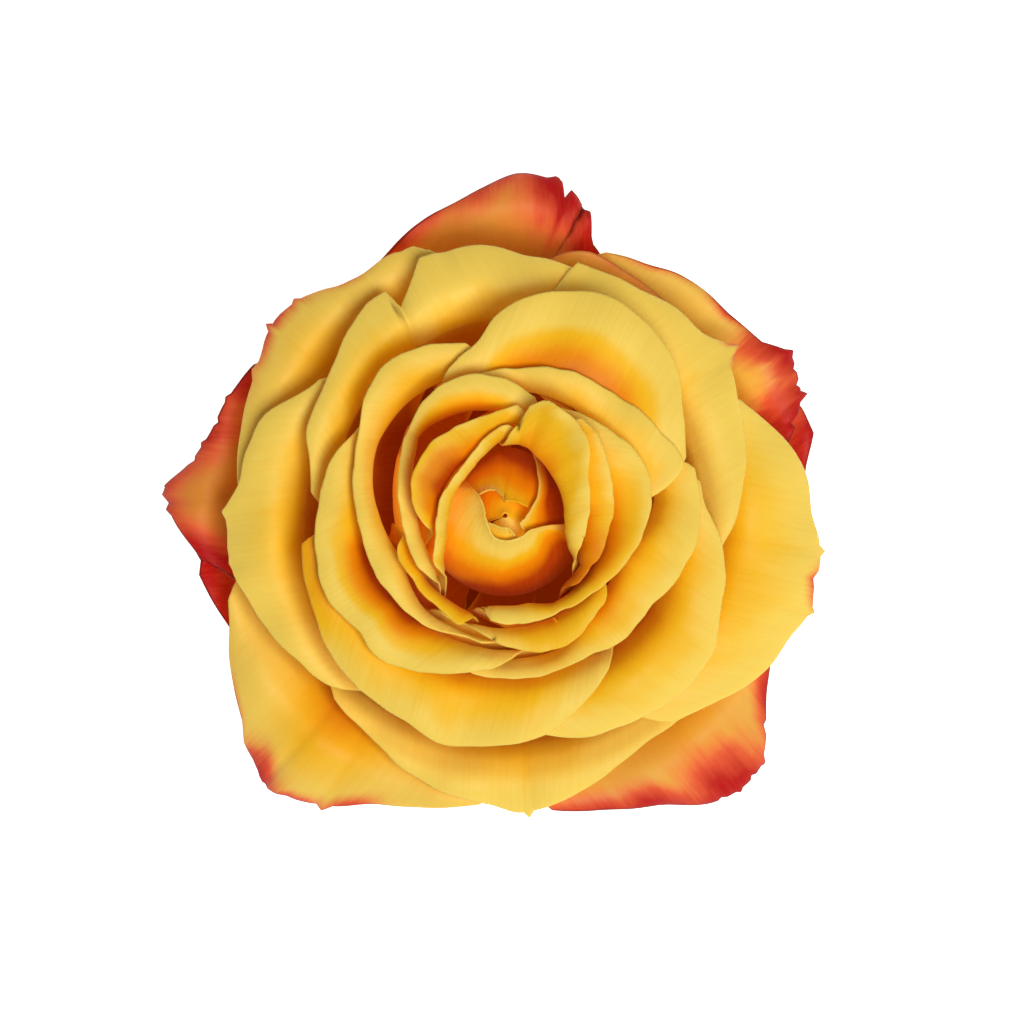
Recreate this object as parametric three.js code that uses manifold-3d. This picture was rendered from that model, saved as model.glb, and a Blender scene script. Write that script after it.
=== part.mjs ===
// A cut rose head, fully open: a spiral of yellow petals on a short stub of stem, five sepals below.
// Millimetres, +Z up. It stands face up on the cut stub and on the tips of four sepals.
import * as THREE from "three";
import { mergeVertices } from "three/addons/utils/BufferGeometryUtils.js";
import Module from "manifold-3d";

// Driving sizes. HIP_HEIGHT is from the cut end to the top of the hip, which is height 0 in the tables.
const HIP_HEIGHT = 22;
const STEM_RADIUS = 3.2;
const CONE_TIP_RISE = 0.2;
const PETAL_THICKNESS = 0.6;
const CLAW_WIDTH = 3;
const SEAT_GAP = 0.4;
const SEPAL_THICKNESS = 0.9;
const SEPAL_HALF_WIDTH = 4.2;
const SEPAL_KEEL = 0.8;
const SEPAL_FOOT_SHARE = 0.12;
const SEPAL_LOBE = 1.25;
const STAMEN_FOOT = 11.8;
const STAMEN_HEIGHT = 6.2;
const STAMEN_TOP_RADIUS = 0.8;
const STAMEN_FOOT_RADIUS = 1.1;
const STAMEN_COUNT = 9;
const ANTHER_RADIUS = 0.45;
const ANTHER_RING_RADIUS = 1;
const ANTHER_DROP = 0.9;
const ANTHER_STEP = 1.4;

// How finely the surfaces are divided. A petal's rows follow the points of its bowl's profile, and rows
// under a drawn-down corner keep at least LEAST_ROW_STEPS between them. A petal widens quickly above its
// claw where PETAL_FULLNESS is above 1.
const PROFILE_STEPS = 120;
const STEPS_PER_ROW = PROFILE_STEPS / 8;
const LEAST_ROW_STEPS = 0.12 * STEPS_PER_ROW;
const PETAL_ROWS = 7;
const PETAL_FULLNESS = 1.5;
const STEM_SIDES = 20;
const STAMEN_SIDES = 10;
const SEPAL_ROWS = 12;
const SEPAL_COLUMNS = 2;

const YELLOW = 0xf7c948;
const DEEP_YELLOW = 0xf2b32c;
const PALE_YELLOW = 0xf9d468;
const RED_FLUSH = 0xc8452a;
const CORAL = 0xf08050;
const SEPAL_GREEN = 0x5f7d34;
const STEM_GREEN = 0x6b8a3c;
const STAMEN_GOLD = 0xd9a520;

// A petal lies on one of a family of nested bowls round the axis. Each bowl is a profile of
// [radius, height] points from the claw to the far edge, and the numbers count outwards from the heart.
// Bowls 0 to 4 close over like a bud, and the others turn outwards at the top.
const BOWLS = [
  [0, [[1.6, 11.2], [3.2, 13.6], [5, 17.4], [6, 21.9], [6, 27], [5.2, 30.9], [4, 33.6], [2.3, 35.8],
    [0.1, 37.3]]],
  [1, [[2, 10.6], [4.2, 13.4], [6.4, 17.3], [7.4, 21.8], [7.3, 27.2], [6.3, 31.4], [4.9, 34.3],
    [3.3, 36.3], [0.5, 38.4]]],
  [4, [[3.4, 8], [6.8, 11], [9.8, 15.8], [11.2, 21.6], [10.8, 28], [9, 33.4], [6.9, 36.8], [4.6, 39.1],
    [1, 41.6]]],
  [5, [[3.7, 7.5], [7.6, 10.3], [10.9, 15.2], [12.4, 21.6], [12, 29], [9.9, 35.6], [8.5, 39.6],
    [9.4, 42.6], [16, 45.2]]],
  [7, [[4.1, 6.8], [8.9, 9.1], [12.8, 14.2], [14.4, 21.2], [13.9, 29], [12, 34.8], [11, 38.2],
    [12.5, 40.7], [18, 41.8]]],
  [10, [[4.9, 5.6], [10.5, 6.9], [15.4, 12.4], [17.5, 20], [17.3, 27.4], [15.9, 32.8], [15.6, 35.8],
    [18, 38], [26, 38.4]]],
  [13, [[5.6, 4.2], [12.1, 4.8], [18, 10.2], [20.9, 17.6], [21.2, 24.8], [20.2, 29.6], [20.6, 32.6],
    [24, 35], [36, 33.6]]],
  [16, [[6.1, 3], [13.6, 2.6], [20, 7.8], [23.9, 14.8], [24.8, 21.4], [24.3, 25.8], [25.4, 29.2],
    [29, 31.6], [40, 29]]],
  [19, [[6.5, 2], [14.9, 0.4], [22.2, 4.8], [27, 11], [28.6, 17.4], [29, 21.6], [30.8, 25.4],
    [35, 27.2], [47, 21.8]]],
  [22, [[6.8, 1], [15.9, -1.8], [24.2, 1.8], [30.4, 7.2], [33.8, 12.8], [35.8, 16.8], [38.6, 19.6],
    [43, 20], [54, 13.5]]],
  [25, [[7.1, 0], [16.7, -4.1], [26, -1.4], [33.6, 3.4], [38.2, 8.6], [41.2, 12.2], [44.4, 14.4],
    [48.5, 13.8], [58, 6]]],
];

// Each petal: the direction of its claw in degrees, its bowl numbers as [direction, number], and its rim
// as [direction, radius, how far the edge is drawn down], anticlockwise from the first to the last.
const PETALS = [
  { name: "bud_curl", claw: 30, color: DEEP_YELLOW, bowl: [[0, 0]],
    rim: [[-152, 0.5, 3], [-140, 0.3], [-110, 0.2], [-75, 0.2], [-40, 0.2], [-5, 0.2], [30, 0.2],
      [65, 0.2], [100, 0.2], [135, 0.2], [165, 0.2], [190, 0.3], [203, 0.5, 3]] },
  { name: "bud_hook", claw: 95, color: DEEP_YELLOW, bowl: [[5, 1.5], [40, 2], [82, 2.6], [110, 1.95],
      [158, 1.85]],
    rim: [[5, 4.4, 6], [22, 3.2], [45, 2.4], [70, 2], [90, 1.9], [97, 2.4], [103, 3], [110, 3.5],
      [120, 3.95], [131, 4.25], [141, 4.5], [150, 4.9, 3]] },
  { name: "bud_left", claw: 190, color: YELLOW, bowl: [[200, 2.98]],
    rim: [[142, 5.6, 5], [152, 4.4, 0.5], [163, 3.6], [175, 3.2], [188, 2.9], [201, 2.4], [215, 1.9],
      [237, 1.6], [262, 1.5], [290, 1.9, 4]] },
  { name: "bud_right", claw: 20, color: YELLOW, bowl: [[-50, 2.5], [5, 2.6], [40, 3], [66, 3.6],
      [80, 3.9]],
    rim: [[-50, 2.4, 5], [-31, 2.1], [-12, 2.5], [6, 3.1], [20, 3.9], [30, 4.9], [41, 6.1], [53, 7.4],
      [64, 9], [80, 10, 6]] },
  { name: "bud_front", claw: 262, color: YELLOW, bowl: [[128, 3.9], [150, 3.88], [183, 3.92], [215, 4],
      [300, 4], [368, 3.85]],
    rim: [[138, 4.8, 4.5], [143, 4.3], [149, 3.6], [157, 3.1], [169, 2.75], [184, 2.6], [200, 2.5],
      [214, 2.55], [228, 2.9], [245, 3.2], [262, 3.3], [280, 3.35], [298, 3.45], [315, 3.6], [330, 3.9],
      [340, 4.8], [347, 6], [353, 8.4, 0.5], [360, 9.2, 3], [370, 9.5, 8]] },
  { name: "heart_left", claw: 168, color: YELLOW, bowl: [[72, 7.4], [80, 7.4], [88, 7.2], [92, 6.9],
      [98, 6.4], [108, 5.6], [121, 4.95], [137, 4.75], [170, 4.78], [183, 4.87], [199, 5.3], [209, 6.1],
      [216, 6.9], [224, 7.5], [234, 7.6]],
    rim: [[72, 12.6, 9], [80, 13, 3], [86, 12.9, 0.5], [92, 12.4], [98, 11.8], [105, 11.1], [115, 10],
      [128, 9.2], [146, 8.9], [160, 9.1], [171, 9.4], [183, 9.6], [196, 10], [208, 11.2],
      [214, 12.1, 0.2], [219, 12.6, 0.9], [224, 12.9, 2.2], [229, 12.9, 5], [234, 12.9, 10]] },
  { name: "heart_top", claw: 98, color: YELLOW, bowl: [[70, 8.5], [88, 8.2], [98, 7.4], [108, 6.65],
      [121, 6.05], [137, 5.88], [160, 5.9], [172, 6.05], [182, 6.2], [199, 6.6], [206, 6.8]],
    rim: [[70, 15.4, 8], [76, 15.8, 3], [84, 15.7], [90, 15], [99, 14.4], [109, 14.3], [120, 14.3],
      [130, 14.4], [141, 14.4], [153, 14.3], [163, 13.9], [172, 13.1], [182, 12.5, 0.5], [190, 12.2, 2],
      [198, 12.2, 6], [206, 12.2, 12]] },
  { name: "heart_cap", claw: 56, color: PALE_YELLOW, bowl: [[-48, 7.3], [-33, 7.3], [-26, 6.2],
      [-15, 5.3], [0, 5.05], [16, 5.1], [29, 5.15], [40, 5.3], [49, 5.5], [63, 5.9], [71, 6.4], [80, 6.5],
      [88, 6.3], [96, 5.6]],
    rim: [[-48, 12, 11], [-41, 11.9, 5], [-36, 11.8, 1.5], [-32, 11.7], [-25, 11.4], [-16, 11.3],
      [-5, 11.5], [7, 12], [18, 12.4], [28, 13.2], [36, 14.7], [43, 15.6], [50, 16.2], [56, 16.6],
      [62, 17], [67, 17.4], [72, 17.1], [77, 15.9], [81, 13], [88, 11.7, 1], [92, 11.3, 4],
      [97, 11, 9]] },
  { name: "heart_side", claw: -18, color: YELLOW, bowl: [[-58, 8.25], [-33, 8.2], [-26, 7.3], [-15, 7],
      [36, 7.1], [51, 7.5], [66, 7.8]],
    rim: [[-60, 14, 9], [-54, 14, 4], [-48, 13.9, 1], [-42, 13.9], [-33, 14.1], [-24, 14.4], [-16, 14.5],
      [-8, 14.7], [0, 15.1], [7, 15.4], [16, 15.7], [24, 16.2], [33, 16.7], [43, 17.2], [52, 17.3],
      [59, 17, 3], [67, 16.5, 9]] },
  { name: "ring_left", claw: 158, color: PALE_YELLOW, bowl: [[64, 9.7], [88, 9.4], [108, 10.2],
      [130, 10.8], [138, 10.8], [145, 10.1], [153, 9.5], [164, 8.85], [172, 8.4], [182, 8.05], [200, 7.8],
      [210, 7.85], [216, 8], [224, 8.4], [234, 8.5]],
    rim: [[64, 17, 8], [70, 17.1, 3], [76, 17.3], [88, 19], [101, 20.3], [114, 20.6], [121, 20.1],
      [127, 19.6], [132, 19], [138, 18.4], [143, 17.8], [150, 16.9], [156, 16.2], [164, 15.5], [173, 15],
      [182, 14.5], [192, 14.3], [201, 14.3], [208, 14.3], [214, 14.2, 0.2], [219, 14, 0.7],
      [224, 13.9, 1.6], [229, 13.8, 4.5], [234, 13.7, 9]] },
  { name: "ring_right", claw: -38, color: PALE_YELLOW, bowl: [[-106, 8.3], [-76, 8.3], [-68, 8.7],
      [-61, 9.2], [-35, 9.2], [-10, 9], [36, 9.4], [50, 9.8], [60, 10.55], [76, 10.65]],
    rim: [[-110, 15.4, 9], [-104, 15, 3], [-98, 14.9], [-92, 15.1], [-83, 15.2], [-74, 15.4], [-65, 15.6],
      [-55, 15.8], [-45, 16.2], [-35, 16.9], [-25, 17.9], [-16, 18.8], [-7, 19.7], [4, 20.8], [20, 20.8],
      [36, 19.4], [50, 18.2], [62, 17.2], [76, 17, 8]] },
  { name: "ring_inner_left", claw: 222, color: DEEP_YELLOW, bowl: [[205, 9.25], [256, 9.45]],
    rim: [[184, 17, 10], [190, 16.6, 4], [195, 16.3, 1], [203, 16.1], [211, 15.8], [221, 15.8],
      [230, 15.7], [236, 16], [243, 16.6], [249, 17.2, 1], [256, 17.6, 7]] },
  { name: "ring_fold", claw: 274, color: YELLOW, bowl: [[240, 10.4]],
    rim: [[228, 15.8, 9], [232, 15.4, 3], [235, 15.3, 0.5], [241, 15.6], [247, 15.8], [253, 16.2],
      [259, 16.7], [265, 17.5], [273, 18.7], [281, 19.6], [290, 20.2], [297, 20.3], [303, 19.9],
      [309, 19], [318, 18.5], [326, 18.4, 2], [334, 18.4, 9]] },
  { name: "middle_top", claw: 36, color: YELLOW, bowl: [[3, 11.7], [60, 11.7], [115, 11.55]],
    rim: [[3, 25.6, 9], [10, 26.2, 3], [17, 26.6], [28, 25], [40, 24], [52, 22.7], [64, 22.4], [77, 21.7],
      [89, 20.7], [101, 20.2], [108, 20, 4], [115, 20, 10]] },
  { name: "middle_right", claw: 102, color: PALE_YELLOW, bowl: [[6, 12.72], [60, 12.76], [122, 12.6]],
    rim: [[6, 26, 9], [12, 26.4, 3], [18, 26.9], [30, 29.3], [42, 32.2], [54, 33.9], [67, 34.1],
      [78, 32.3], [87, 30.5], [93, 28.4], [98, 25.4], [106, 23.2], [114, 23, 2], [122, 23, 8]] },
  { name: "middle_left", claw: 176, color: YELLOW, bowl: [[90, 13.6], [130, 13.9], [150, 13.6],
      [167, 12.6], [180, 11.6], [189, 11.1], [197, 10.6], [204, 10.4], [214, 10.7], [227, 11.35],
      [277, 11.4]],
    rim: [[90, 24, 8], [103, 24.8], [116, 26.8], [130, 27.3], [141, 25.8], [150, 23.8], [161, 22.4],
      [176, 21.3], [192, 20.4], [201, 20.1], [210, 19.8], [222, 19.4], [235, 19], [245, 18.3], [253, 18],
      [261, 18.2, 1], [269, 18.5, 4], [277, 18.6, 9]] },
  { name: "middle_lower_left", claw: 214, color: YELLOW, bowl: [[136, 15], [150, 14.8], [167, 13.7],
      [180, 13.2], [213, 12.9], [236, 12.4], [290, 12.35]],
    rim: [[136, 24, 9], [149, 23.8], [160, 25.6], [175, 26.6], [191, 27.3], [206, 27.6], [218, 26.5],
      [229, 27], [241, 25.3], [252, 23.4], [264, 21.6], [274, 21, 2], [282, 21, 6], [290, 21, 12]] },
  { name: "middle_lower_right", claw: 314, color: YELLOW, bowl: [[242, 13.4], [290, 13.3], [300, 12.4],
      [310, 11.6], [340, 11.3], [349, 12], [358, 13.2], [366, 13.95], [390, 14]],
    rim: [[242, 23, 10], [249, 23.05, 5], [256, 23.1, 1], [263, 23], [270, 22.9], [278, 23.1],
      [285, 23.3], [292, 23.1], [300, 23], [308, 23.6], [315, 24.1], [322, 24.3], [330, 24.6],
      [338, 25.7], [345, 26.5], [352, 27.2], [358, 27.6], [364, 27.7], [374, 27.4], [382, 26.8, 4],
      [390, 26, 10]] },
  { name: "wide_bottom", claw: 250, color: PALE_YELLOW, bowl: [[182, 15.05], [326, 14.95]],
    rim: [[182, 28, 5], [188, 29], [202, 30.1], [217, 31.5], [231, 32.1], [245, 32.5], [253, 33.5],
      [264, 33], [274, 32.4], [284, 30.8], [294, 28.4], [304, 26.2], [312, 25, 2], [319, 25, 6],
      [326, 25, 11]] },
  { name: "wide_lower_right", claw: 336, color: YELLOW, bowl: [[266, 16], [326, 16], [345, 15.6],
      [384, 15.5]],
    rim: [[266, 30, 10], [280, 31.6], [292, 33.5], [304, 34.6], [316, 35.7], [326, 35.3], [335, 33.6],
      [345, 32.2], [354, 30.6], [362, 28.6], [370, 28], [384, 27.5, 9]] },
  { name: "wide_right", claw: 24, color: PALE_YELLOW, bowl: [[-24, 17.7], [90, 18]],
    rim: [[-24, 31, 10], [-8, 31.2], [0, 33], [9, 34.3], [18, 35.9], [27, 37.1], [33, 38.3], [36, 41],
      [41, 38.8], [52, 38.2], [63, 37.4], [74, 37.3], [79, 35, 4], [90, 34.5, 11]] },
  { name: "wide_top_left", claw: 122, color: PALE_YELLOW, bowl: [[60, 19.7], [180, 15.9]],
    rim: [[60, 34.5, 10], [74, 36.6], [86, 37.3], [95, 38.8], [103, 38.5], [109, 38.5], [113, 35.6],
      [116, 34.5], [119, 36], [128, 35], [137, 33], [146, 31.6], [155, 30.9], [164, 28.8], [173, 27.5],
      [180, 26.6, 4]] },
  { name: "outer_right", claw: -10, color: PALE_YELLOW, bowl: [[-64, 19.3], [40, 19.1]],
    rim: [[-64, 37, 9], [-50, 38.2], [-40, 40.6], [-31, 43.3], [-22, 44.6], [-17, 45.8], [-13, 44.9],
      [-7, 45.5], [0, 43.8], [9, 43.3], [16, 41.2], [26, 37.3], [40, 36.5, 9]] },
  { name: "outer_left", claw: 186, color: PALE_YELLOW, bowl: [[130, 18.4], [245, 19.7]],
    rim: [[130, 31.5, 9], [144, 32.5], [150, 34.3], [157, 37.2], [165, 38.1], [174, 38.4], [179, 39.9],
      [183, 39.4], [189, 40], [198, 38.6], [207, 37.4], [216, 36], [224, 34.8], [231, 32.2],
      [245, 31.5, 9]] },
  { name: "outer_bottom", claw: 270, color: PALE_YELLOW, bowl: [[268, 20.9]],
    rim: [[213, 34.5, 9], [227, 35.5], [238, 36.8], [248, 38.9], [258, 40.5], [267, 41.4], [274, 42.6],
      [283, 41.2], [291, 39.6], [300, 38.3], [310, 38.2], [324, 37, 9]] },
  { name: "outer_top_left", claw: 141, color: YELLOW, bowl: [[139, 20.6]],
    rim: [[92, 37.5, 9], [106, 39.3], [113, 40.7], [122, 40], [130, 41.5], [135, 42.9], [141, 43.5],
      [147, 41.8], [156, 40.4], [165, 39.3], [173, 38.3], [186, 37, 9]] },
  { name: "guard_strip", claw: 88, color: CORAL, bowl: [[66, 21.5]],
    rim: [[40, 36.5, 9], [53, 38], [64, 38.9], [72, 39.6], [80, 38.8, 2], [92, 37, 9]] },
  { name: "guard_lower_left", claw: 230, color: YELLOW, bowl: [[226, 22.1]],
    rim: [[182, 39.5, 9], [197, 41.2], [206, 43.9], [215, 46.8], [223, 49.9], [229, 52.1], [233, 50.6],
      [238, 49.2], [246, 45.4], [256, 43.1], [265, 41.2], [271, 40, 6]] },
  { name: "guard_lower_right", claw: 304, color: RED_FLUSH, bowl: [[309, 22.3]],
    rim: [[273, 40.5, 6], [279, 42.5], [289, 44.5], [298, 47.2], [306, 51], [312, 51.9], [316, 51.5],
      [321, 47.8], [326, 45], [332, 43.1], [345, 41, 9]] },
  { name: "guard_upper_right", claw: 40, color: RED_FLUSH, bowl: [[42, 22.7]],
    rim: [[4, 41, 9], [17, 43.4], [22, 45.6], [26, 46.4], [30, 46.8], [34, 44.4], [42, 43.1], [52, 42.8],
      [61, 41.3], [69, 40.2], [80, 38.5, 8]] },
  { name: "guard_right", claw: -2, color: RED_FLUSH, bowl: [[15, 24.1]],
    rim: [[-14, 41, 9], [-2, 42], [10, 43.7], [15, 45.7], [20, 44.9], [31, 43, 4], [44, 41, 9]] },
  { name: "guard_top", claw: 95, color: RED_FLUSH, bowl: [[94, 24]],
    rim: [[58, 37, 9], [72, 40.5], [74, 43.4], [77, 47], [81, 48.8], [88, 48.9], [94, 46.9], [101, 45],
      [108, 43.4], [116, 40.6], [130, 39, 9]] },
  { name: "guard_left", claw: 160, color: RED_FLUSH, bowl: [[170, 23.2]],
    rim: [[136, 39.5, 9], [149, 41.7], [158, 43.3], [166, 44.1], [171, 46.2], [175, 49.4], [180, 47.9],
      [187, 44.6], [194, 42.5, 4], [205, 41, 10]] },
  { name: "guard_left_low", claw: 204, color: RED_FLUSH, bowl: [[196, 24.7]],
    rim: [[176, 41, 9], [186, 43.4], [191, 44.6], [198, 43.2], [204, 42], [217, 40.5, 9]] },
];

// Sepals: direction in degrees and the midline as [radius, height] from the hip's top. The first spreads
// under the guard petals, and the others fold back until their tips touch the surface.
const SEPAL_TIP_HEIGHT = 0.07 - HIP_HEIGHT;
const FOLDED_SEPAL = [[6.95, -3], [11, -6], [14.4, -9.5], [17, -13.5], [18.6, -17.6],
  [19.3, SEPAL_TIP_HEIGHT]];
const SEPALS = [
  { direction: 188, midline: [[6.95, -3], [14, -7.6], [23, -6.6], [31, -2.6], [38, 2.4], [44, 7.4]] },
  { direction: 260, midline: FOLDED_SEPAL },
  { direction: 332, midline: FOLDED_SEPAL },
  { direction: 44, midline: FOLDED_SEPAL },
  { direction: 116, midline: FOLDED_SEPAL },
];

// The stem and hip from the cut end up, as [radius, height]. The cone goes on through the petals' claws.
const HIP_OUTLINE = [[STEM_RADIUS, -HIP_HEIGHT], [STEM_RADIUS, -12], [4, -10], [6, -7.4], [6.7, -4.6],
  [6.5, -2]];

const wasm = await Module();
wasm.setup();

const radians = THREE.MathUtils.degToRad;

// The profile of bowl number `bowl`, mixed between its two neighbours in the table, as a smooth curve with
// the same number of steps between each two points, and the distance from the claw to each step.
function bowlProfile(bowl) {
  const above = Math.max(1, BOWLS.findIndex(([number]) => number >= bowl));
  const [lowNumber, low] = BOWLS[above - 1];
  const [highNumber, high] = BOWLS[above];
  const mix = (bowl - lowNumber) / (highNumber - lowNumber);
  const points = low.map(([radius, height], i) => new THREE.Vector2(
    THREE.MathUtils.lerp(radius, high[i][0], mix),
    THREE.MathUtils.lerp(height, high[i][1], mix),
  ));
  const places = new THREE.SplineCurve(points).getPoints(PROFILE_STEPS);
  const lengths = [0];
  for (let i = 1; i < places.length; i++) {
    lengths.push(lengths[i - 1] + places[i].distanceTo(places[i - 1]));
  }
  return { places, lengths };
}

// The step where a profile has this radius, looking back from its far edge no further than the throat of
// an open bowl or the belly of a closed one. A rim wider than the bowl ends at the bowl's far edge.
function stepAtRadius({ places }, radius) {
  const trend = Math.sign(places[PROFILE_STEPS - 1].x - places[PROFILE_STEPS].x);
  if ((places[PROFILE_STEPS].x - radius) * trend > 0) {
    return PROFILE_STEPS;
  }
  for (let i = PROFILE_STEPS; i > 0; i--) {
    const inner = places[i - 1].x;
    const outer = places[i].x;
    if ((inner - outer) * trend < 0) {
      return i;
    }
    if ((inner - radius) * (outer - radius) <= 0 && inner !== outer) {
      return i - 1 + (radius - inner) / (outer - inner);
    }
  }
  return 0;
}

// The step that lies `distance` millimetres nearer the claw than the given one.
function stepNearerClaw({ lengths }, step, distance) {
  const whole = Math.min(Math.floor(step), PROFILE_STEPS - 1);
  const wanted = THREE.MathUtils.lerp(lengths[whole], lengths[whole + 1], step - whole) - distance;
  let found = whole;
  while (found > 0 && lengths[found] > wanted) {
    found--;
  }
  return found + (wanted - lengths[found]) / (lengths[found + 1] - lengths[found]);
}

// The point at a step of a profile, turned to a direction in radians.
function pointOnBowl({ places }, step, direction) {
  const whole = THREE.MathUtils.clamp(Math.floor(step), 0, PROFILE_STEPS - 1);
  const place = places[whole].clone().lerp(places[whole + 1], step - whole);
  return new THREE.Vector3(place.x * Math.cos(direction), place.x * Math.sin(direction), place.y);
}

// The unit normal of a grid of points at one of its points, from the points on either side.
function gridNormal(grid, row, column) {
  const lastRow = grid.length - 1;
  const lastColumn = grid[0].length - 1;
  const across = grid[row][Math.min(column + 1, lastColumn)].clone();
  across.sub(grid[row][Math.max(column - 1, 0)]);
  const along = grid[Math.min(row + 1, lastRow)][column].clone();
  along.sub(grid[Math.max(row - 1, 0)][column]);
  return across.cross(along).normalize();
}

// A closed sheet of even thickness round a grid of points, split into triangles alike on both faces.
function sheetGeometry(grid, thickness) {
  const rows = grid.length;
  const columns = grid[0].length;
  const positions = [];
  for (const side of [1, -1]) {
    for (let row = 0; row < rows; row++) {
      for (let column = 0; column < columns; column++) {
        const point = grid[row][column].clone();
        point.addScaledVector(gridNormal(grid, row, column), (side * thickness) / 2);
        positions.push(...point.toArray());
      }
    }
  }
  const at = (side, row, column) => (side * rows + row) * columns + column;
  const triangles = [];
  for (let row = 0; row < rows - 1; row++) {
    for (let column = 0; column < columns - 1; column++) {
      const corners = [[row, column], [row, column + 1], [row + 1, column + 1], [row + 1, column]];
      const outer = corners.map(([r, c]) => at(0, r, c));
      const inner = corners.map(([r, c]) => at(1, r, c));
      triangles.push(outer[0], outer[1], outer[2], outer[0], outer[2], outer[3]);
      triangles.push(inner[0], inner[2], inner[1], inner[0], inner[3], inner[2]);
    }
  }
  const border = [];
  for (let column = 0; column < columns - 1; column++) {
    border.push([0, column]);
  }
  for (let row = 0; row < rows - 1; row++) {
    border.push([row, columns - 1]);
  }
  for (let column = columns - 1; column > 0; column--) {
    border.push([rows - 1, column]);
  }
  for (let row = rows - 1; row > 0; row--) {
    border.push([row, 0]);
  }
  border.forEach(([row, column], i) => {
    const [nextRow, nextColumn] = border[(i + 1) % border.length];
    const a = at(0, row, column);
    const b = at(0, nextRow, nextColumn);
    const c = at(1, nextRow, nextColumn);
    const d = at(1, row, column);
    triangles.push(a, d, c, a, c, b);
  });
  const geometry = new THREE.BufferGeometry();
  geometry.setAttribute("position", new THREE.BufferAttribute(new Float32Array(positions), 3));
  geometry.setIndex(triangles);
  return geometry;
}

// The bowl number towards a direction in degrees, mixed between the two nearest in a list of
// [direction, number]. Past either end it stays the same.
function bowlTowards(numbers, direction) {
  const after = numbers.findIndex(([known]) => known >= direction);
  if (after <= 0) {
    return numbers[after === 0 ? 0 : numbers.length - 1][1];
  }
  const [before, low] = numbers[after - 1];
  const [beyond, high] = numbers[after];
  return THREE.MathUtils.mapLinear(direction, before, beyond, low, high);
}

// A petal widens from its claw to its rim over its bowls, one column of points for each point of its rim.
// The bowl number follows the direction, so neighbouring petals stay apart at every height.
function petalGeometry({ bowl, claw, rim }) {
  const clawDirection = radians(claw);
  const width = radians(rim[rim.length - 1][0] - rim[0][0]);
  const profileTowards = (direction) => bowlProfile(bowlTowards(bowl, THREE.MathUtils.radToDeg(direction)));
  const columns = rim.map(([degrees, radius, drawnDown = 0]) => {
    const direction = radians(degrees);
    const profile = profileTowards(direction);
    const top = stepNearerClaw(profile, stepAtRadius(profile, radius), drawnDown);
    return { direction, profile, top };
  });
  const clawShare = CLAW_WIDTH / (profileTowards(clawDirection).places[0].x * width);
  const grid = [];
  for (let row = 0; row <= PETAL_ROWS; row++) {
    const rise = row / PETAL_ROWS;
    const spread = clawShare + (1 - clawShare) * (1 - Math.pow(1 - rise, PETAL_FULLNESS));
    grid.push(columns.map(({ direction, profile, top }) => {
      const seat = stepNearerClaw(profile, 1, profile.lengths[1] - SEAT_GAP);
      const belowRim = top - (PETAL_ROWS - row) * LEAST_ROW_STEPS;
      const regular = row === PETAL_ROWS ? top : Math.min(row * STEPS_PER_ROW, belowRim);
      const step = row === 0 ? seat : regular;
      const turned = clawDirection + (direction - clawDirection) * spread;
      return pointOnBowl(profileTowards(turned), step, turned);
    }));
  }
  return sheetGeometry(grid, PETAL_THICKNESS);
}

// A sepal: a pointed blade with raised edges and small side lobes, swept along its midline.
function sepalGeometry({ direction, midline }) {
  const curve = new THREE.SplineCurve(midline.map(([radius, height]) => new THREE.Vector2(radius, height)));
  const places = curve.getSpacedPoints(SEPAL_ROWS);
  const outward = new THREE.Vector3(Math.cos(radians(direction)), Math.sin(radians(direction)), 0);
  const sideways = new THREE.Vector3(-outward.y, outward.x, 0);
  const grid = places.map((place, row) => {
    const share = row / SEPAL_ROWS;
    const lobe = row % 4 === 2 && share < 0.8 ? SEPAL_LOBE : 1;
    const taper = Math.pow(Math.cos((share * Math.PI) / 2), 0.8);
    const halfWidth = lobe * SEPAL_HALF_WIDTH * THREE.MathUtils.lerp(SEPAL_FOOT_SHARE, 1, taper);
    const points = [];
    for (let column = 0; column <= SEPAL_COLUMNS; column++) {
      const across = (2 * column) / SEPAL_COLUMNS - 1;
      points.push(outward.clone().multiplyScalar(place.x)
        .addScaledVector(sideways, across * halfWidth)
        .add(new THREE.Vector3(0, 0, place.y + SEPAL_KEEL * Math.abs(across) * (1 - share))));
    }
    return points;
  });
  return sheetGeometry(grid, SEPAL_THICKNESS);
}

// The stem stub, the hip and the cone that the petals grow from, turned in one piece.
function stemAndHipGeometry() {
  const cone = BOWLS.map(([, points]) => points[0]).reverse();
  const tip = cone[cone.length - 1][1] + CONE_TIP_RISE;
  const outline = [[0, -HIP_HEIGHT], ...HIP_OUTLINE, ...cone, [0, tip]];
  const profile = outline.map(([radius, height]) => new THREE.Vector2(radius, height));
  return new THREE.LatheGeometry(profile, STEM_SIDES).rotateX(Math.PI / 2);
}

// A closed geometry as a solid that can be joined to others.
function solidOf(geometry) {
  const bare = geometry.clone();
  bare.deleteAttribute("normal");
  bare.deleteAttribute("uv");
  const merged = mergeVertices(bare, 1e-4);
  return new wasm.Manifold(new wasm.Mesh({
    numProp: 3,
    vertProperties: new Float32Array(merged.attributes.position.array),
    triVerts: new Uint32Array(merged.index.array),
  }));
}

// The geometry of a joined solid.
function geometryOf(solid) {
  const { vertProperties, triVerts } = solid.getMesh();
  const geometry = new THREE.BufferGeometry();
  geometry.setAttribute("position", new THREE.BufferAttribute(new Float32Array(vertProperties), 3));
  geometry.setIndex(new THREE.BufferAttribute(new Uint32Array(triVerts), 1));
  return geometry;
}

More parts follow.
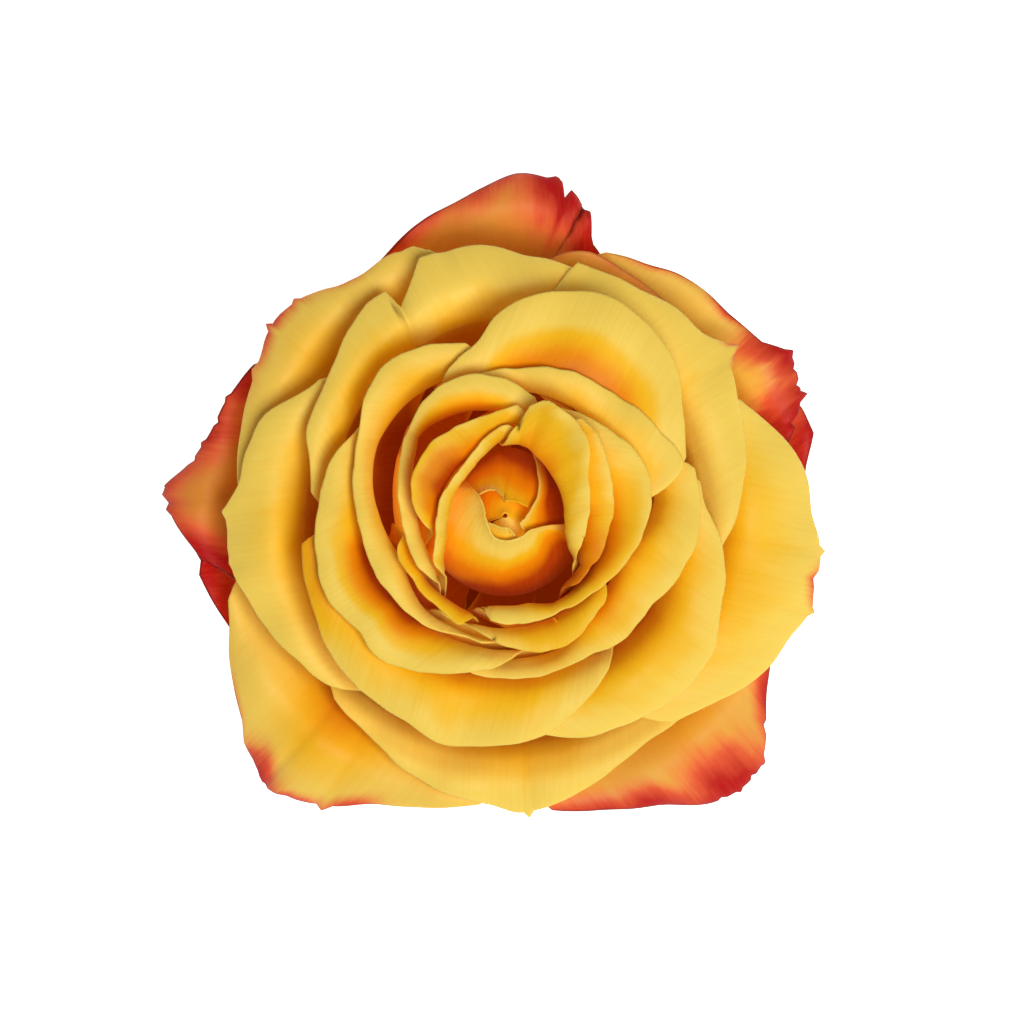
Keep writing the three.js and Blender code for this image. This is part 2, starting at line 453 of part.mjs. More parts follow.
// The styles and stamens: a short column on the cone with anthers round its top, at three heights.
function stamensGeometry() {
  const column = new THREE.CylinderGeometry(
    STAMEN_TOP_RADIUS,
    STAMEN_FOOT_RADIUS,
    STAMEN_HEIGHT,
    STAMEN_SIDES,
  );
  column.rotateX(Math.PI / 2);
  column.translate(0, 0, STAMEN_FOOT + STAMEN_HEIGHT / 2);
  let cluster = solidOf(column);
  for (let i = 0; i < STAMEN_COUNT; i++) {
    const direction = (i * 2 * Math.PI) / STAMEN_COUNT;
    const height = STAMEN_FOOT + STAMEN_HEIGHT - ANTHER_DROP - ANTHER_STEP * (i % 3);
    const anther = new THREE.SphereGeometry(ANTHER_RADIUS, 6, 4);
    anther.translate(
      ANTHER_RING_RADIUS * Math.cos(direction),
      ANTHER_RING_RADIUS * Math.sin(direction),
      height,
    );
    cluster = cluster.add(solidOf(anther));
  }
  return geometryOf(cluster);
}

const flower = new THREE.Group();

// Adds one named piece with a material of its own.
function addPiece(name, geometry, color, roughness) {
  const material = new THREE.MeshStandardMaterial({ color, roughness, metalness: 0 });
  const mesh = new THREE.Mesh(geometry, material);
  mesh.name = name;
  flower.add(mesh);
}

addPiece("stem_and_hip", stemAndHipGeometry(), STEM_GREEN, 0.6);
addPiece("stamens", stamensGeometry(), STAMEN_GOLD, 0.7);
SEPALS.forEach((sepal, i) => addPiece(`sepal_${i + 1}`, sepalGeometry(sepal), SEPAL_GREEN, 0.6));
PETALS.forEach((petal) => addPiece(petal.name, petalGeometry(petal), petal.color, 0.55));

// The middle of the outline and the lowest point come to the origin.
const box = new THREE.Box3().setFromObject(flower);
const middle = box.getCenter(new THREE.Vector3());
flower.position.set(-middle.x, -middle.y, -box.min.z);

const part = new THREE.Group();
part.add(flower);

export default part;
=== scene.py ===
"""Dresses a cut rose head: yellow petals wound round a bud, red-edged guard petals, sepals and stem.

Metres, +Z up. Each petal is a region of one of a family of nested bowls round the flower's axis, so
neighbours follow one another and never cross. Tables are in millimetres from the axis and from the
top of the hip, which is height 0.
"""

import math

import bpy
import numpy as np
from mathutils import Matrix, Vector


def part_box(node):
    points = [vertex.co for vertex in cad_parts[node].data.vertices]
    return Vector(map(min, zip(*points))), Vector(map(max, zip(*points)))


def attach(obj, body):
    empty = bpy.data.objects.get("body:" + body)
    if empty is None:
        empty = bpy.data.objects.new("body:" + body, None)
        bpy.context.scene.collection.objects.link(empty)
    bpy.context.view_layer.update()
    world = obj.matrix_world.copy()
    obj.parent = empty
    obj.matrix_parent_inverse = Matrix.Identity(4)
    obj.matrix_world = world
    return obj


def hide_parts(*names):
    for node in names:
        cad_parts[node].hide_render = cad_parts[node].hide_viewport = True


bl_info = {
    "name": "Cut Rose Head",
    "version": (1, 0, 0),
    "blender": (4, 5, 0),
    "location": "3D View > Sidebar > Rose",
    "description": "Builds the petals, sepals, stem and studio of a cut rose head",
    "category": "Add Mesh",
}

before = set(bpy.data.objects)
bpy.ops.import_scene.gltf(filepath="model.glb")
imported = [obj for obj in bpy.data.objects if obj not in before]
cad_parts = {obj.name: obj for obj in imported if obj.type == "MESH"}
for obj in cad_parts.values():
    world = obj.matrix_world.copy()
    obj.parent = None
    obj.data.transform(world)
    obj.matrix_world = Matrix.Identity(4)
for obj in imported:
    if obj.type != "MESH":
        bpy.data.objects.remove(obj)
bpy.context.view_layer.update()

MM = 0.001
HIP_HEIGHT = 22.0
stem_low, stem_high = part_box("stem_and_hip")
AXIS_X = (stem_low.x + stem_high.x) / 2
AXIS_Y = (stem_low.y + stem_high.y) / 2
HIP_TOP = stem_low.z + HIP_HEIGHT * MM

# Bowl number and its profile of [radius, height] points from the claw to the far edge.
BOWLS = [
    (0, [[1.6, 11.2], [3.2, 13.6], [5, 17.4], [6, 21.9], [6, 27], [5.2, 30.9], [4, 33.6],
         [2.3, 35.8], [0.1, 37.3]]),
    (1, [[2, 10.6], [4.2, 13.4], [6.4, 17.3], [7.4, 21.8], [7.3, 27.2], [6.3, 31.4], [4.9, 34.3],
         [3.3, 36.3], [0.5, 38.4]]),
    (4, [[3.4, 8], [6.8, 11], [9.8, 15.8], [11.2, 21.6], [10.8, 28], [9, 33.4], [6.9, 36.8],
         [4.6, 39.1], [1, 41.6]]),
    (5, [[3.7, 7.5], [7.6, 10.3], [10.9, 15.2], [12.4, 21.6], [12, 29], [9.9, 35.6], [8.5, 39.6],
         [9.4, 42.6], [16, 45.2]]),
    (7, [[4.1, 6.8], [8.9, 9.1], [12.8, 14.2], [14.4, 21.2], [13.9, 29], [12, 34.8], [11, 38.2],
         [12.5, 40.7], [18, 41.8]]),
    (10, [[4.9, 5.6], [10.5, 6.9], [15.4, 12.4], [17.5, 20], [17.3, 27.4], [15.9, 32.8],
          [15.6, 35.8], [18, 38], [26, 38.4]]),
    (13, [[5.6, 4.2], [12.1, 4.8], [18, 10.2], [20.9, 17.6], [21.2, 24.8], [20.2, 29.6],
          [20.6, 32.6], [24, 35], [36, 33.6]]),
    (16, [[6.1, 3], [13.6, 2.6], [20, 7.8], [23.9, 14.8], [24.8, 21.4], [24.3, 25.8],
          [25.4, 29.2], [29, 31.6], [40, 29]]),
    (19, [[6.5, 2], [14.9, 0.4], [22.2, 4.8], [27, 11], [28.6, 17.4], [29, 21.6], [30.8, 25.4],
          [35, 27.2], [47, 21.8]]),
    (22, [[6.8, 1], [15.9, -1.8], [24.2, 1.8], [30.4, 7.2], [33.8, 12.8], [35.8, 16.8],
          [38.6, 19.6], [43, 20], [54, 13.5]]),
    (25, [[7.1, 0], [16.7, -4.1], [26, -1.4], [33.6, 3.4], [38.2, 8.6], [41.2, 12.2],
          [44.4, 14.4], [48.5, 13.8], [58, 6]]),
]

# Each petal: the direction of its claw in degrees, its bowl numbers as (direction, number), and its rim as
# (direction, radius, how far the edge is drawn down), anticlockwise from first to last.
PETALS = {
    "bud_curl": {
        "group": "bud", "slot": "petal_heart", "claw": 30,
        "bowl": [(0, 0)],
        "rim": [(-152, 0.5, 3), (-140, 0.3), (-110, 0.2), (-75, 0.2), (-40, 0.2), (-5, 0.2),
                (30, 0.2), (65, 0.2), (100, 0.2), (135, 0.2), (165, 0.2), (190, 0.3),
                (203, 0.5, 3)],
    },
    "bud_hook": {
        "group": "bud", "slot": "petal_heart", "claw": 95,
        "bowl": [(5, 1.5), (40, 2), (82, 2.6), (110, 1.95), (158, 1.85)],
        "rim": [(5, 4.4, 6), (22, 3.2), (45, 2.4), (70, 2), (90, 1.9), (97, 2.4), (103, 3),
                (110, 3.5), (120, 3.95), (131, 4.25), (141, 4.5), (150, 4.9, 3)],
    },
    "bud_left": {
        "group": "bud", "slot": "petal_heart", "claw": 190,
        "bowl": [(200, 2.98)],
        "rim": [(142, 5.6, 5), (152, 4.4, 0.5), (163, 3.6), (175, 3.2), (188, 2.9), (201, 2.4),
                (215, 1.9), (237, 1.6), (262, 1.5), (285, 1.55), (298, 1.8, 1.5), (306, 2.2, 4)],
    },
    "bud_right": {
        "group": "bud", "slot": "petal_heart", "claw": 20,
        "bowl": [(-50, 2.5), (5, 2.6), (40, 3), (66, 3.6), (80, 3.9)],
        "rim": [(-50, 2.4, 5), (-31, 2.1), (-12, 2.5), (6, 3.1), (20, 3.9), (30, 4.9), (41, 6.1),
                (53, 7.4), (64, 9), (80, 10, 6)],
    },
    "bud_front": {
        "group": "bud", "slot": "petal_heart", "claw": 262,
        "bowl": [(128, 3.9), (150, 3.88), (183, 3.92), (215, 4), (300, 4), (368, 3.85)],
        "rim": [(138, 4.8, 4.5), (143, 4.3), (149, 3.6), (157, 3.1), (169, 2.75), (184, 2.6),
                (200, 2.5), (214, 2.55), (228, 2.9), (245, 3.2), (262, 3.3), (280, 3.35),
                (298, 3.45), (315, 3.6), (330, 3.9), (340, 4.8), (347, 6), (353, 8.4, 0.5),
                (360, 9.2, 3), (370, 9.5, 8)],
    },
    "heart_left": {
        "group": "heart", "slot": "petal_heart", "claw": 168,
        "bowl": [(72, 7.4), (80, 7.4), (88, 7.2), (92, 6.9), (98, 6.4), (108, 5.6), (121, 4.95),
                 (137, 4.75), (170, 4.78), (183, 4.87), (199, 5.3), (209, 6.1), (216, 6.9),
                 (224, 7.5), (234, 7.6)],
        "rim": [(72, 12.6, 9), (80, 13, 3), (86, 12.9, 0.5), (92, 12.4), (98, 11.8), (105, 11.1),
                (115, 10), (128, 9.2), (146, 8.9), (160, 9.1), (171, 9.4), (183, 9.6), (196, 10),
                (208, 11.2), (214, 12.1, 0.2), (219, 12.6, 0.9), (224, 12.9, 2.2), (229, 12.9, 5),
                (234, 12.9, 10)],
    },
    "heart_top": {
        "group": "heart", "slot": "petal_heart", "claw": 98,
        "bowl": [(70, 8.5), (88, 8.2), (98, 7.4), (108, 6.65), (121, 6.05), (137, 5.88),
                 (160, 5.9), (172, 6.05), (182, 6.2), (199, 6.6), (206, 6.8)],
        "rim": [(70, 15.4, 8), (76, 15.8, 3), (84, 15.7), (90, 15), (99, 14.4), (109, 14.3),
                (120, 14.3), (130, 14.4), (141, 14.4), (153, 14.3), (163, 13.9), (172, 13.1),
                (182, 12.5, 0.5), (190, 12.2, 2), (198, 12.2, 6), (206, 12.2, 12)],
    },
    "heart_cap": {
        "group": "heart", "slot": "petal_heart", "claw": 56,
        "bowl": [(-48, 7.3), (-33, 7.3), (-26, 6.2), (-15, 5.3), (0, 5.05), (16, 5.1), (29, 5.15),
                 (40, 5.3), (49, 5.5), (63, 5.9), (71, 6.4), (80, 6.5), (88, 6.3), (96, 5.6)],
        "rim": [(-48, 12, 11), (-41, 11.9, 5), (-36, 11.8, 1.5), (-32, 11.7), (-25, 11.4),
                (-16, 11.3), (-5, 11.5), (7, 12), (18, 12.4), (28, 13.2), (36, 14.7), (43, 15.6),
                (50, 16.2), (56, 16.6), (62, 17), (67, 17.4), (72, 17.1), (77, 15.9), (81, 13),
                (88, 11.7, 1), (92, 11.3, 4), (97, 11, 9)],
    },
    "heart_side": {
        "group": "heart", "slot": "petal_heart", "claw": -18,
        "bowl": [(-58, 8.25), (-33, 8.2), (-26, 7.3), (-15, 7), (36, 7.1), (51, 7.5), (66, 7.8)],
        "rim": [(-60, 14, 9), (-54, 14, 4), (-48, 13.9, 1), (-42, 13.9), (-33, 14.1), (-24, 14.4),
                (-16, 14.5), (-8, 14.7), (0, 15.1), (7, 15.4), (16, 15.7), (24, 16.2), (33, 16.7),
                (43, 17.2), (52, 17.3), (59, 17, 3), (67, 16.5, 9)],
    },
    "ring_left": {
        "group": "middle", "slot": "petal_yellow", "claw": 158,
        "bowl": [(64, 9.7), (88, 9.4), (108, 10.2), (130, 10.8), (138, 10.8), (145, 10.1),
                 (153, 9.5), (164, 8.85), (172, 8.4), (182, 8.05), (200, 7.8), (210, 7.85),
                 (216, 8), (224, 8.4), (234, 8.5)],
        "rim": [(64, 17, 8), (70, 17.1, 3), (76, 17.3), (88, 19), (101, 20.3), (114, 20.6),
                (121, 20.1), (127, 19.6), (132, 19), (138, 18.4), (143, 17.8), (150, 16.9),
                (156, 16.2), (164, 15.5), (173, 15), (182, 14.5), (192, 14.3), (201, 14.3),
                (208, 14.3), (214, 14.2, 0.2), (219, 14, 0.7), (224, 13.9, 1.6), (229, 13.8, 4.5),
                (234, 13.7, 9)],
    },
    "ring_right": {
        "group": "middle", "slot": "petal_yellow", "claw": -38,
        "bowl": [(-106, 8.3), (-76, 8.3), (-68, 8.7), (-61, 9.2), (-35, 9.2), (-10, 9), (36, 9.4),
                 (50, 9.8), (60, 10.55), (76, 10.65)],
        "rim": [(-110, 15.4, 9), (-104, 15, 3), (-98, 14.9), (-92, 15.1), (-83, 15.2),
                (-74, 15.4), (-65, 15.6), (-55, 15.8), (-45, 16.2), (-35, 16.9), (-25, 17.9),
                (-16, 18.8), (-7, 19.7), (4, 20.8), (20, 20.8), (36, 19.4), (50, 18.2),
                (62, 17.2), (76, 17, 8)],
    },
    "ring_inner_left": {
        "group": "middle", "slot": "petal_heart", "claw": 222,
        "bowl": [(205, 9.25), (256, 9.45)],
        "rim": [(184, 17, 10), (190, 16.6, 4), (195, 16.3, 1), (203, 16.1), (211, 15.8),
                (221, 15.8), (230, 15.7), (236, 16), (243, 16.6), (249, 17.2, 1), (256, 17.6, 7)],
    },
    "ring_fold": {
        "group": "middle", "slot": "petal_yellow", "claw": 274,
        "bowl": [(240, 10.4)],
        "rim": [(228, 15.8, 9), (232, 15.4, 3), (235, 15.3, 0.5), (241, 15.6), (247, 15.8),
                (253, 16.2), (259, 16.7), (265, 17.5), (273, 18.7), (281, 19.6), (290, 20.2),
                (297, 20.3), (303, 19.9), (309, 19), (318, 18.5), (326, 18.4, 2), (334, 18.4, 9)],
    },
    "middle_top": {
        "group": "middle", "slot": "petal_yellow", "claw": 36,
        "bowl": [(3, 11.7), (60, 11.7), (115, 11.55)],
        "rim": [(3, 25.6, 9), (10, 26.2, 3), (17, 26.6), (28, 25), (40, 24), (52, 22.7),
                (64, 22.4), (77, 21.7), (89, 20.7), (101, 20.2), (108, 20, 4), (115, 20, 10)],
    },
    "middle_right": {
        "group": "middle", "slot": "petal_yellow", "claw": 102,
        "bowl": [(6, 12.72), (60, 12.76), (122, 12.6)],
        "rim": [(6, 26, 9), (12, 26.4, 3), (18, 26.9), (30, 29.3), (42, 32.2), (54, 33.9),
                (67, 34.1), (78, 32.3), (87, 30.5), (93, 28.4), (98, 25.4), (106, 23.2),
                (114, 23, 2), (122, 23, 8)],
    },
    "middle_left": {
        "group": "middle", "slot": "petal_yellow", "claw": 176,
        "bowl": [(90, 13.6), (130, 13.9), (150, 13.6), (167, 12.6), (180, 11.6), (189, 11.1),
                 (197, 10.6), (204, 10.4), (214, 10.7), (227, 11.35), (277, 11.4)],
        "rim": [(90, 24, 8), (103, 24.8), (116, 26.8), (130, 27.3), (141, 25.8), (150, 23.8),
                (161, 22.4), (176, 21.3), (192, 20.4), (201, 20.1), (210, 19.8), (222, 19.4),
                (235, 19), (245, 18.3), (253, 18), (261, 18.2, 1), (269, 18.5, 4),
                (277, 18.6, 9)],
    },
    "middle_lower_left": {
        "group": "middle", "slot": "petal_yellow", "claw": 214,
        "bowl": [(136, 15), (150, 14.8), (167, 13.7), (180, 13.2), (213, 12.9), (236, 12.4),
                 (290, 12.35)],
        "rim": [(136, 24, 9), (149, 23.8), (160, 25.6), (175, 26.6), (191, 27.3), (206, 27.6),
                (218, 26.5), (229, 27), (241, 25.3), (252, 23.4), (264, 21.6), (274, 21, 2),
                (282, 21, 6), (290, 21, 12)],
    },
    "middle_lower_right": {
        "group": "middle", "slot": "petal_yellow", "claw": 314,
        "bowl": [(242, 13.4), (290, 13.3), (300, 12.4), (310, 11.6), (340, 11.3), (349, 12),
                 (358, 13.2), (366, 13.95), (390, 14)],
        "rim": [(242, 23, 10), (249, 23.05, 5), (256, 23.1, 1), (263, 23), (270, 22.9),
                (278, 23.1), (285, 23.3), (292, 23.1), (300, 23), (308, 23.6), (315, 24.1),
                (322, 24.3), (330, 24.6), (338, 25.7), (345, 26.5), (352, 27.2), (358, 27.6),
                (364, 27.7), (374, 27.4), (382, 26.8, 4), (390, 26, 10)],
    },
    "wide_bottom": {
        "group": "outer", "slot": "petal_yellow", "claw": 250,
        "bowl": [(182, 15.05), (326, 14.95)],
        "rim": [(182, 28, 5), (188, 29), (202, 30.1), (217, 31.5), (231, 32.1), (245, 32.5),
                (253, 33.5), (264, 33), (274, 32.4), (284, 30.8), (294, 28.4), (304, 26.2),
                (312, 24.2, 2.5), (319, 24, 6), (326, 24, 11)],
    },
    "wide_lower_right": {
        "group": "outer", "slot": "petal_yellow", "claw": 336,
        "bowl": [(266, 16), (326, 16), (345, 15.6), (384, 15.5)],
        "rim": [(266, 30, 10), (280, 31.6), (292, 33.5), (304, 34.6), (316, 35.7), (326, 35.3),
                (335, 33.6), (345, 32.2), (354, 30.6), (362, 28.6), (370, 28), (384, 27.5, 9)],
    },
    "wide_right": {
        "group": "outer", "slot": "petal_yellow", "claw": 24,
        "bowl": [(-24, 17.7), (90, 18)],
        "rim": [(-24, 31, 10), (-8, 31.2), (0, 33), (9, 34.3), (18, 35.9), (27, 37.1), (33, 38.3),
                (36, 41), (41, 38.8), (52, 38.2), (63, 37.4), (74, 37.3), (79, 35, 4),
                (90, 34.5, 11)],
    },
    "wide_top_left": {
        "group": "outer", "slot": "petal_yellow", "claw": 122,
        "bowl": [(60, 19.7), (180, 15.9)],
        "rim": [(60, 34.5, 10), (74, 36.6), (86, 37.3), (95, 38.8), (103, 38.8), (108.5, 38.7),
                (110.5, 37), (114, 34.4), (116.6, 33), (118.2, 35.9), (123, 35.8), (128, 35),
                (137, 33), (146, 31.6), (155, 30.9), (164, 28.8), (173, 27.5), (180, 26.6, 4)],
    },
    "outer_right": {
        "group": "outer", "slot": "petal_outer", "claw": -10,
        "bowl": [(-64, 19.3), (40, 19.1)],
        "rim": [(-64, 37, 9), (-50, 38.2), (-40, 40.6), (-31, 43.3), (-22, 44.6), (-17, 45.8),
                (-13, 44.9), (-7, 45.5), (0, 43.8), (9, 43.3), (16, 41.2), (26, 37.3),
                (40, 36.5, 9)],
    },
    "outer_left": {
        "group": "outer", "slot": "petal_outer", "claw": 186,
        "bowl": [(130, 18.4), (245, 19.7)],
        "rim": [(130, 31.5, 9), (144, 32.5), (150, 34.3), (157, 37.2), (165, 38.1), (174, 38.4),
                (179, 39.9), (183, 39.4), (189, 40), (198, 38.6), (207, 37.4), (216, 36),
                (224, 34.8), (231, 32.2), (245, 31.5, 9)],
    },
    "outer_bottom": {
        "group": "outer", "slot": "petal_outer", "claw": 270,
        "bowl": [(268, 20.9)],
        "rim": [(213, 34.5, 9), (227, 35.5), (238, 36.8), (248, 38.9), (258, 40.5), (267, 41.4),
                (274, 42.6), (283, 41.2), (291, 39.6), (300, 38.3), (310, 38.2), (324, 37, 9)],
    },
    "outer_top_left": {
        "group": "outer", "slot": "petal_outer", "claw": 141,
        "bowl": [(139, 20.6)],
        "rim": [(92, 37.5, 9), (106, 39.3), (113, 40.7), (122, 40), (130, 41.5), (135, 42.9),
                (141, 43.5), (147, 41.8), (156, 40.4), (165, 39.3), (173, 38.3), (186, 37, 9)],
    },
    "guard_strip": {
        "group": "guard", "slot": "petal_guard", "claw": 88,
        "bowl": [(66, 21.5)],
        "rim": [(40, 36.5, 9), (53, 38), (64, 38.9), (72, 39.6), (80, 38.8, 2), (92, 37, 9)],
    },
    "guard_lower_left": {
        "group": "guard", "slot": "petal_guard", "claw": 230,
        "bowl": [(226, 22.1)],
        "rim": [(182, 39.5, 9), (197, 41.2), (206, 43.9), (215, 46.8), (223, 49.9), (229, 52.1),
                (233, 50.6), (238, 49.2), (246, 45.4), (256, 43.1), (265, 41.2), (271, 40, 6)],
    },
    "guard_lower_right": {
        "group": "guard", "slot": "petal_guard", "claw": 304,
        "bowl": [(309, 22.3)],
        "rim": [(273, 40.5, 6), (279, 42.5), (289, 44.5), (298, 47.2), (306, 51), (312, 51.9),
                (316, 51.5), (321, 47.8), (326, 45), (332, 43.1), (345, 41, 9)],
    },
    "guard_upper_right": {
        "group": "guard", "slot": "petal_guard", "claw": 40,
        "bowl": [(42, 22.7)],
        "rim": [(4, 41, 9), (17, 43.4), (22, 45.6), (26, 46.4), (30, 46.8), (34, 44.4),
                (42, 43.1), (52, 42.8), (61, 41.3), (69, 40.2), (80, 38.5, 8)],
    },
    "guard_right": {
        "group": "guard", "slot": "petal_guard", "claw": -2,
        "bowl": [(15, 24.1)],
        "rim": [(-14, 41, 9), (-2, 42), (10, 43.7), (15, 45.7), (20, 44.9), (31, 43, 4),
                (44, 41, 9)],
    },
    "guard_top": {
        "group": "guard", "slot": "petal_guard", "claw": 95,
        "bowl": [(94, 24)],
        "rim": [(58, 37, 9), (72, 40.5), (74, 43.4), (77, 47), (81, 48.8), (88, 48.9), (94, 46.9),
                (101, 45), (108, 43.4), (116, 40.6), (130, 39, 9)],
    },
    "guard_left": {
        "group": "guard", "slot": "petal_guard", "claw": 160,
        "bowl": [(170, 23.2)],
        "rim": [(136, 39.5, 9), (149, 41.7), (158, 43.3), (166, 44.1), (171, 46.2), (175, 49.4),
                (180, 47.9), (187, 44.6), (194, 42.5, 4), (205, 41, 10)],
    },
    "guard_left_low": {
        "group": "guard", "slot": "petal_guard", "claw": 204,
        "bowl": [(196, 24.7)],
        "rim": [(176, 41, 9), (186, 43.4), (191, 44.6), (198, 43.2), (204, 42), (217, 40.5, 9)],
    },
}

# The photograph shows this many pixels to a millimetre at the height of the outer rims, and its middle
# lies this far from the part's origin.
PIXELS_PER_MM = 7.0
CAMERA_X = 3.0 * MM
CAMERA_Y = -2.71 * MM
SHARP_HEIGHT = 40 * MM

# Where red flushes a petal's edge: direction and half width in degrees, reach from the edge in
# millimetres, and strength.
FLUSH = {
    "guard_top": [(70, 10, 15, 1.0), (80, 9, 14, 1.0), (92, 12, 6, 0.6), (108, 14, 4, 0.6)],
    "guard_strip": [(66, 40, 4, 0.3)],
    "guard_upper_right": [(18, 10, 14, 1.0), (31, 7, 9, 0.9), (42, 7, 2, 0.6), (58, 14, 1.4, 0.4)],
    "guard_right": [(12, 10, 9, 1.0), (26, 12, 6, 0.7)],
    "guard_left": [(148, 13, 10, 0.85), (164, 10, 7, 0.75), (176, 9, 6, 0.7), (188, 9, 7, 1.0)],
    "guard_left_low": [(188, 20, 12, 1.0), (206, 16, 12, 1.0)],
    "guard_lower_left": [(226, 5, 6, 0.8), (233, 6, 2.5, 0.6), (241, 7, 3.5, 0.55), (216, 9, 1.6, 0.35)],
    "guard_lower_right": [(310, 8, 14, 1.0), (299, 8, 7, 0.95), (288, 12, 5, 0.75), (328, 11, 4.5, 0.8)],
    "outer_top_left": [(141, 12, 3, 0.55), (126, 12, 1.6, 0.3)],
    "outer_right": [(-13, 5, 2.4, 0.5)],
    "wide_right": [(36, 3, 1.6, 0.5)],
}

# How much of the warm orange each petal takes, as a share.
ORANGE_TINT = {
    "guard_top": 0.72, "guard_strip": 0.3, "guard_upper_right": 0.18, "guard_right": 0.75,
    "guard_left": 0.85, "guard_left_low": 1.0, "guard_lower_left": 0.12, "guard_lower_right": 0.42,
    "outer_top_left": 0.1,
}

# How a petal's colour deepens from its rim. This is partly its own deeper colour and partly painted light
# and shade: by direction it darkens crevices and places shaded by neighbouring petals, and keeps lit places
# pale.
# Columns: direction, how many times faster than usual, and how many millimetres of the usual deepening the
# rim itself has. Below none, the rim's colour reaches further in.
DEEPENING_AND_PAINTED_LIGHT = {
    "bud_curl": [(-152, 1.2, 1.5), (-100, 0.7, -1), (-50, 0.7, -1), (0, 1.3, 1.5), (90, 1.2, 0.5),
                 (150, 1.4, 2), (203, 1.2, 1.5)],
    "bud_hook": [(5, 1.4, 3.5), (60, 1.3, 2.5), (97, 1.1, 0), (125, 1.9, -1.5), (150, 2.2, -1.5)],
    "bud_left": [(142, 1, 1), (200, 0.8, 0), (290, 0.8, 0)],
    "bud_right": [(-50, 1.6, 0), (0, 3, -1), (25, 5, -3), (80, 5, -3)],
    "bud_front": [(138, 0.2, 0), (180, 0.25, 0), (210, 0.5, -1), (240, 1.2, -4), (270, 1.6, -4.5),
                  (315, 2, -3.5), (345, 2.7, -2)],
    "heart_top": [(70, 0.9, 0), (88, 1.3, 0), (101, 1.6, 0.6), (118, 1.7, 0.6), (132, 2.2, 0.8),
                  (157, 3, 1.5), (206, 2.2, 0)],
    "heart_side": [(-60, 1, 8), (-40, 1, 8), (-20, 1, 6), (-5, 1.2, 2), (8, 1, 0)],
    "ring_right": [(-85, 1, 0), (-66, 3, 2), (-40, 5, 4), (-24, 5, 3), (0, 2.5, 1), (25, 1, 0)],
    "ring_left": [(80, 1, 0), (93, 4, -6), (108, 4.5, -7), (132, 5, -2), (150, 1, 0)],
    "heart_cap": [(-48, 0.7, 0), (97, 0.7, 0)],
    "ring_inner_left": [(0, 1.6, 1.5)],
    "middle_lower_left": [(170, 1, 0), (186, 2, -2), (193, 4.5, -8), (226, 4.5, -8), (245, 1.6, -1),
                          (262, 1, 0)],
    "middle_right": [(6, 1, 0), (35, 2.3, -6), (60, 2.5, -11), (85, 3, -14), (105, 1.5, -2)],
    "middle_lower_right": [(275, 1, 0), (290, 1.5, 1), (320, 2.3, 1.5), (336, 1.3, 0), (350, 1, 0)],
    "ring_fold": [(240, 1, 0), (270, 1, 2), (295, 1.5, 5), (315, 1.5, 4)],
    "wide_top_left": [(75, 0.7, -1), (112, 0.7, -4), (130, 1, 0)],
    "wide_right": [(10, 0.7, -3), (35, 0.8, -4.5), (55, 0.8, -4), (80, 1, 0)],
    "wide_bottom": [(188, 1, 9), (202, 1, 8), (218, 1, 2), (240, 1, 0)],
    "guard_lower_left": [(215, 1, 0), (232, 1.8, 0), (242, 1.6, 0), (256, 1, 0)],
}

# Painted glow: how strongly each petal emits its own colour in the depths of the flower. This stands in for
# light that shines through it from its other side.
PAINTED_GLOW = {
    "bud_curl": 0.8, "bud_hook": 0.45, "bud_left": 0.3, "bud_right": 0.2, "bud_front": 0.35,
    "heart_left": 0.55, "heart_top": 0.6, "heart_cap": 0.3, "heart_side": 0.3,
    "ring_left": 0.55, "ring_right": 0.3, "ring_inner_left": 0.4, "ring_fold": 0.3,
    "middle_top": 0.25, "middle_right": 0.2, "middle_left": 0.2, "middle_lower_left": 0.2,
    "middle_lower_right": 0.2, "wide_bottom": 0.15, "wide_top_left": 0.15,
}

# Small points and nicks of a rim: direction and half width in degrees, and how far out in millimetres.
TIPS = {
    "guard_top": [(81.5, 1.5, 0.5), (79.4, 0.9, -1.7), (74.3, 1.4, 1.4)],
    "guard_upper_right": [(29.8, 0.9, 0.5), (27, 0.8, -0.4), (24.2, 0.8, -0.5), (22, 0.9, 1.0),
                          (18, 1.2, -0.9)],
    "guard_left": [(179, 1.0, 0.5), (176.5, 1.3, 0.9), (170, 0.9, -0.4), (166.5, 0.8, 0.4), (162, 0.9, -0.4),
                   (157, 1.0, 0.4)],
    "guard_left_low": [(187, 1.4, 0.8)],
    "guard_lower_left": [(238, 1.3, 1.0), (232, 1.4, -0.2), (227.5, 1.6, 0.6), (221, 3.0, 0.6)],
    "guard_lower_right": [(321, 1.0, -0.5), (316.5, 0.8, 0.5), (313.5, 0.7, -0.4), (310.5, 0.7, 0.4),
                          (307.5, 0.8, -0.3)],
    "outer_top_left": [(141.3, 0.9, 0.9), (134.3, 1.0, 0.5), (109, 2.5, 0.6), (150, 2.0, 0.6)],
    "outer_bottom": [(274.6, 1.0, 0.9)],
    "outer_right": [(-6.4, 1.1, 0.8), (-11.5, 1.5, -0.4), (-17.5, 0.9, 0.6)],
    "outer_left": [(179.3, 1.4, 0.3), (189.9, 1.6, 0.35)],
    "wide_right": [(36.2, 1.2, 0.6)],
}

# Creases that run in from a rim: direction and half width in degrees, depth and reach in millimetres.
CREASES = {
    "guard_lower_left": [(228, 1.2, 1.0, 8), (237.6, 1.6, 0.5, 7)],
    "guard_top": [(76.3, 1.4, 0.9, 9)],
    "guard_left": [(176.5, 1.6, 0.8, 5)],
    "guard_lower_right": [(316.5, 1.5, 0.4, 10)],
    "outer_top_left": [(126, 2.2, 0.5, 12), (141.3, 1.6, 0.6, 5)],
    "outer_bottom": [(274.6, 2.2, 0.5, 7)],
    "outer_right": [(-6.4, 1.5, 0.6, 5), (-17.5, 1.4, 0.35, 5)],
    "outer_left": [(189.9, 1.8, 0.5, 6)],
    "wide_right": [(36.2, 2.0, 0.6, 6)],
    "wide_top_left": [(116.6, 1.6, 0.7, 8), (103, 1.8, 0.4, 5)],
    "wide_lower_right": [(321, 1.2, 0.35, 4), (325, 1.0, 0.3, 4)],
}

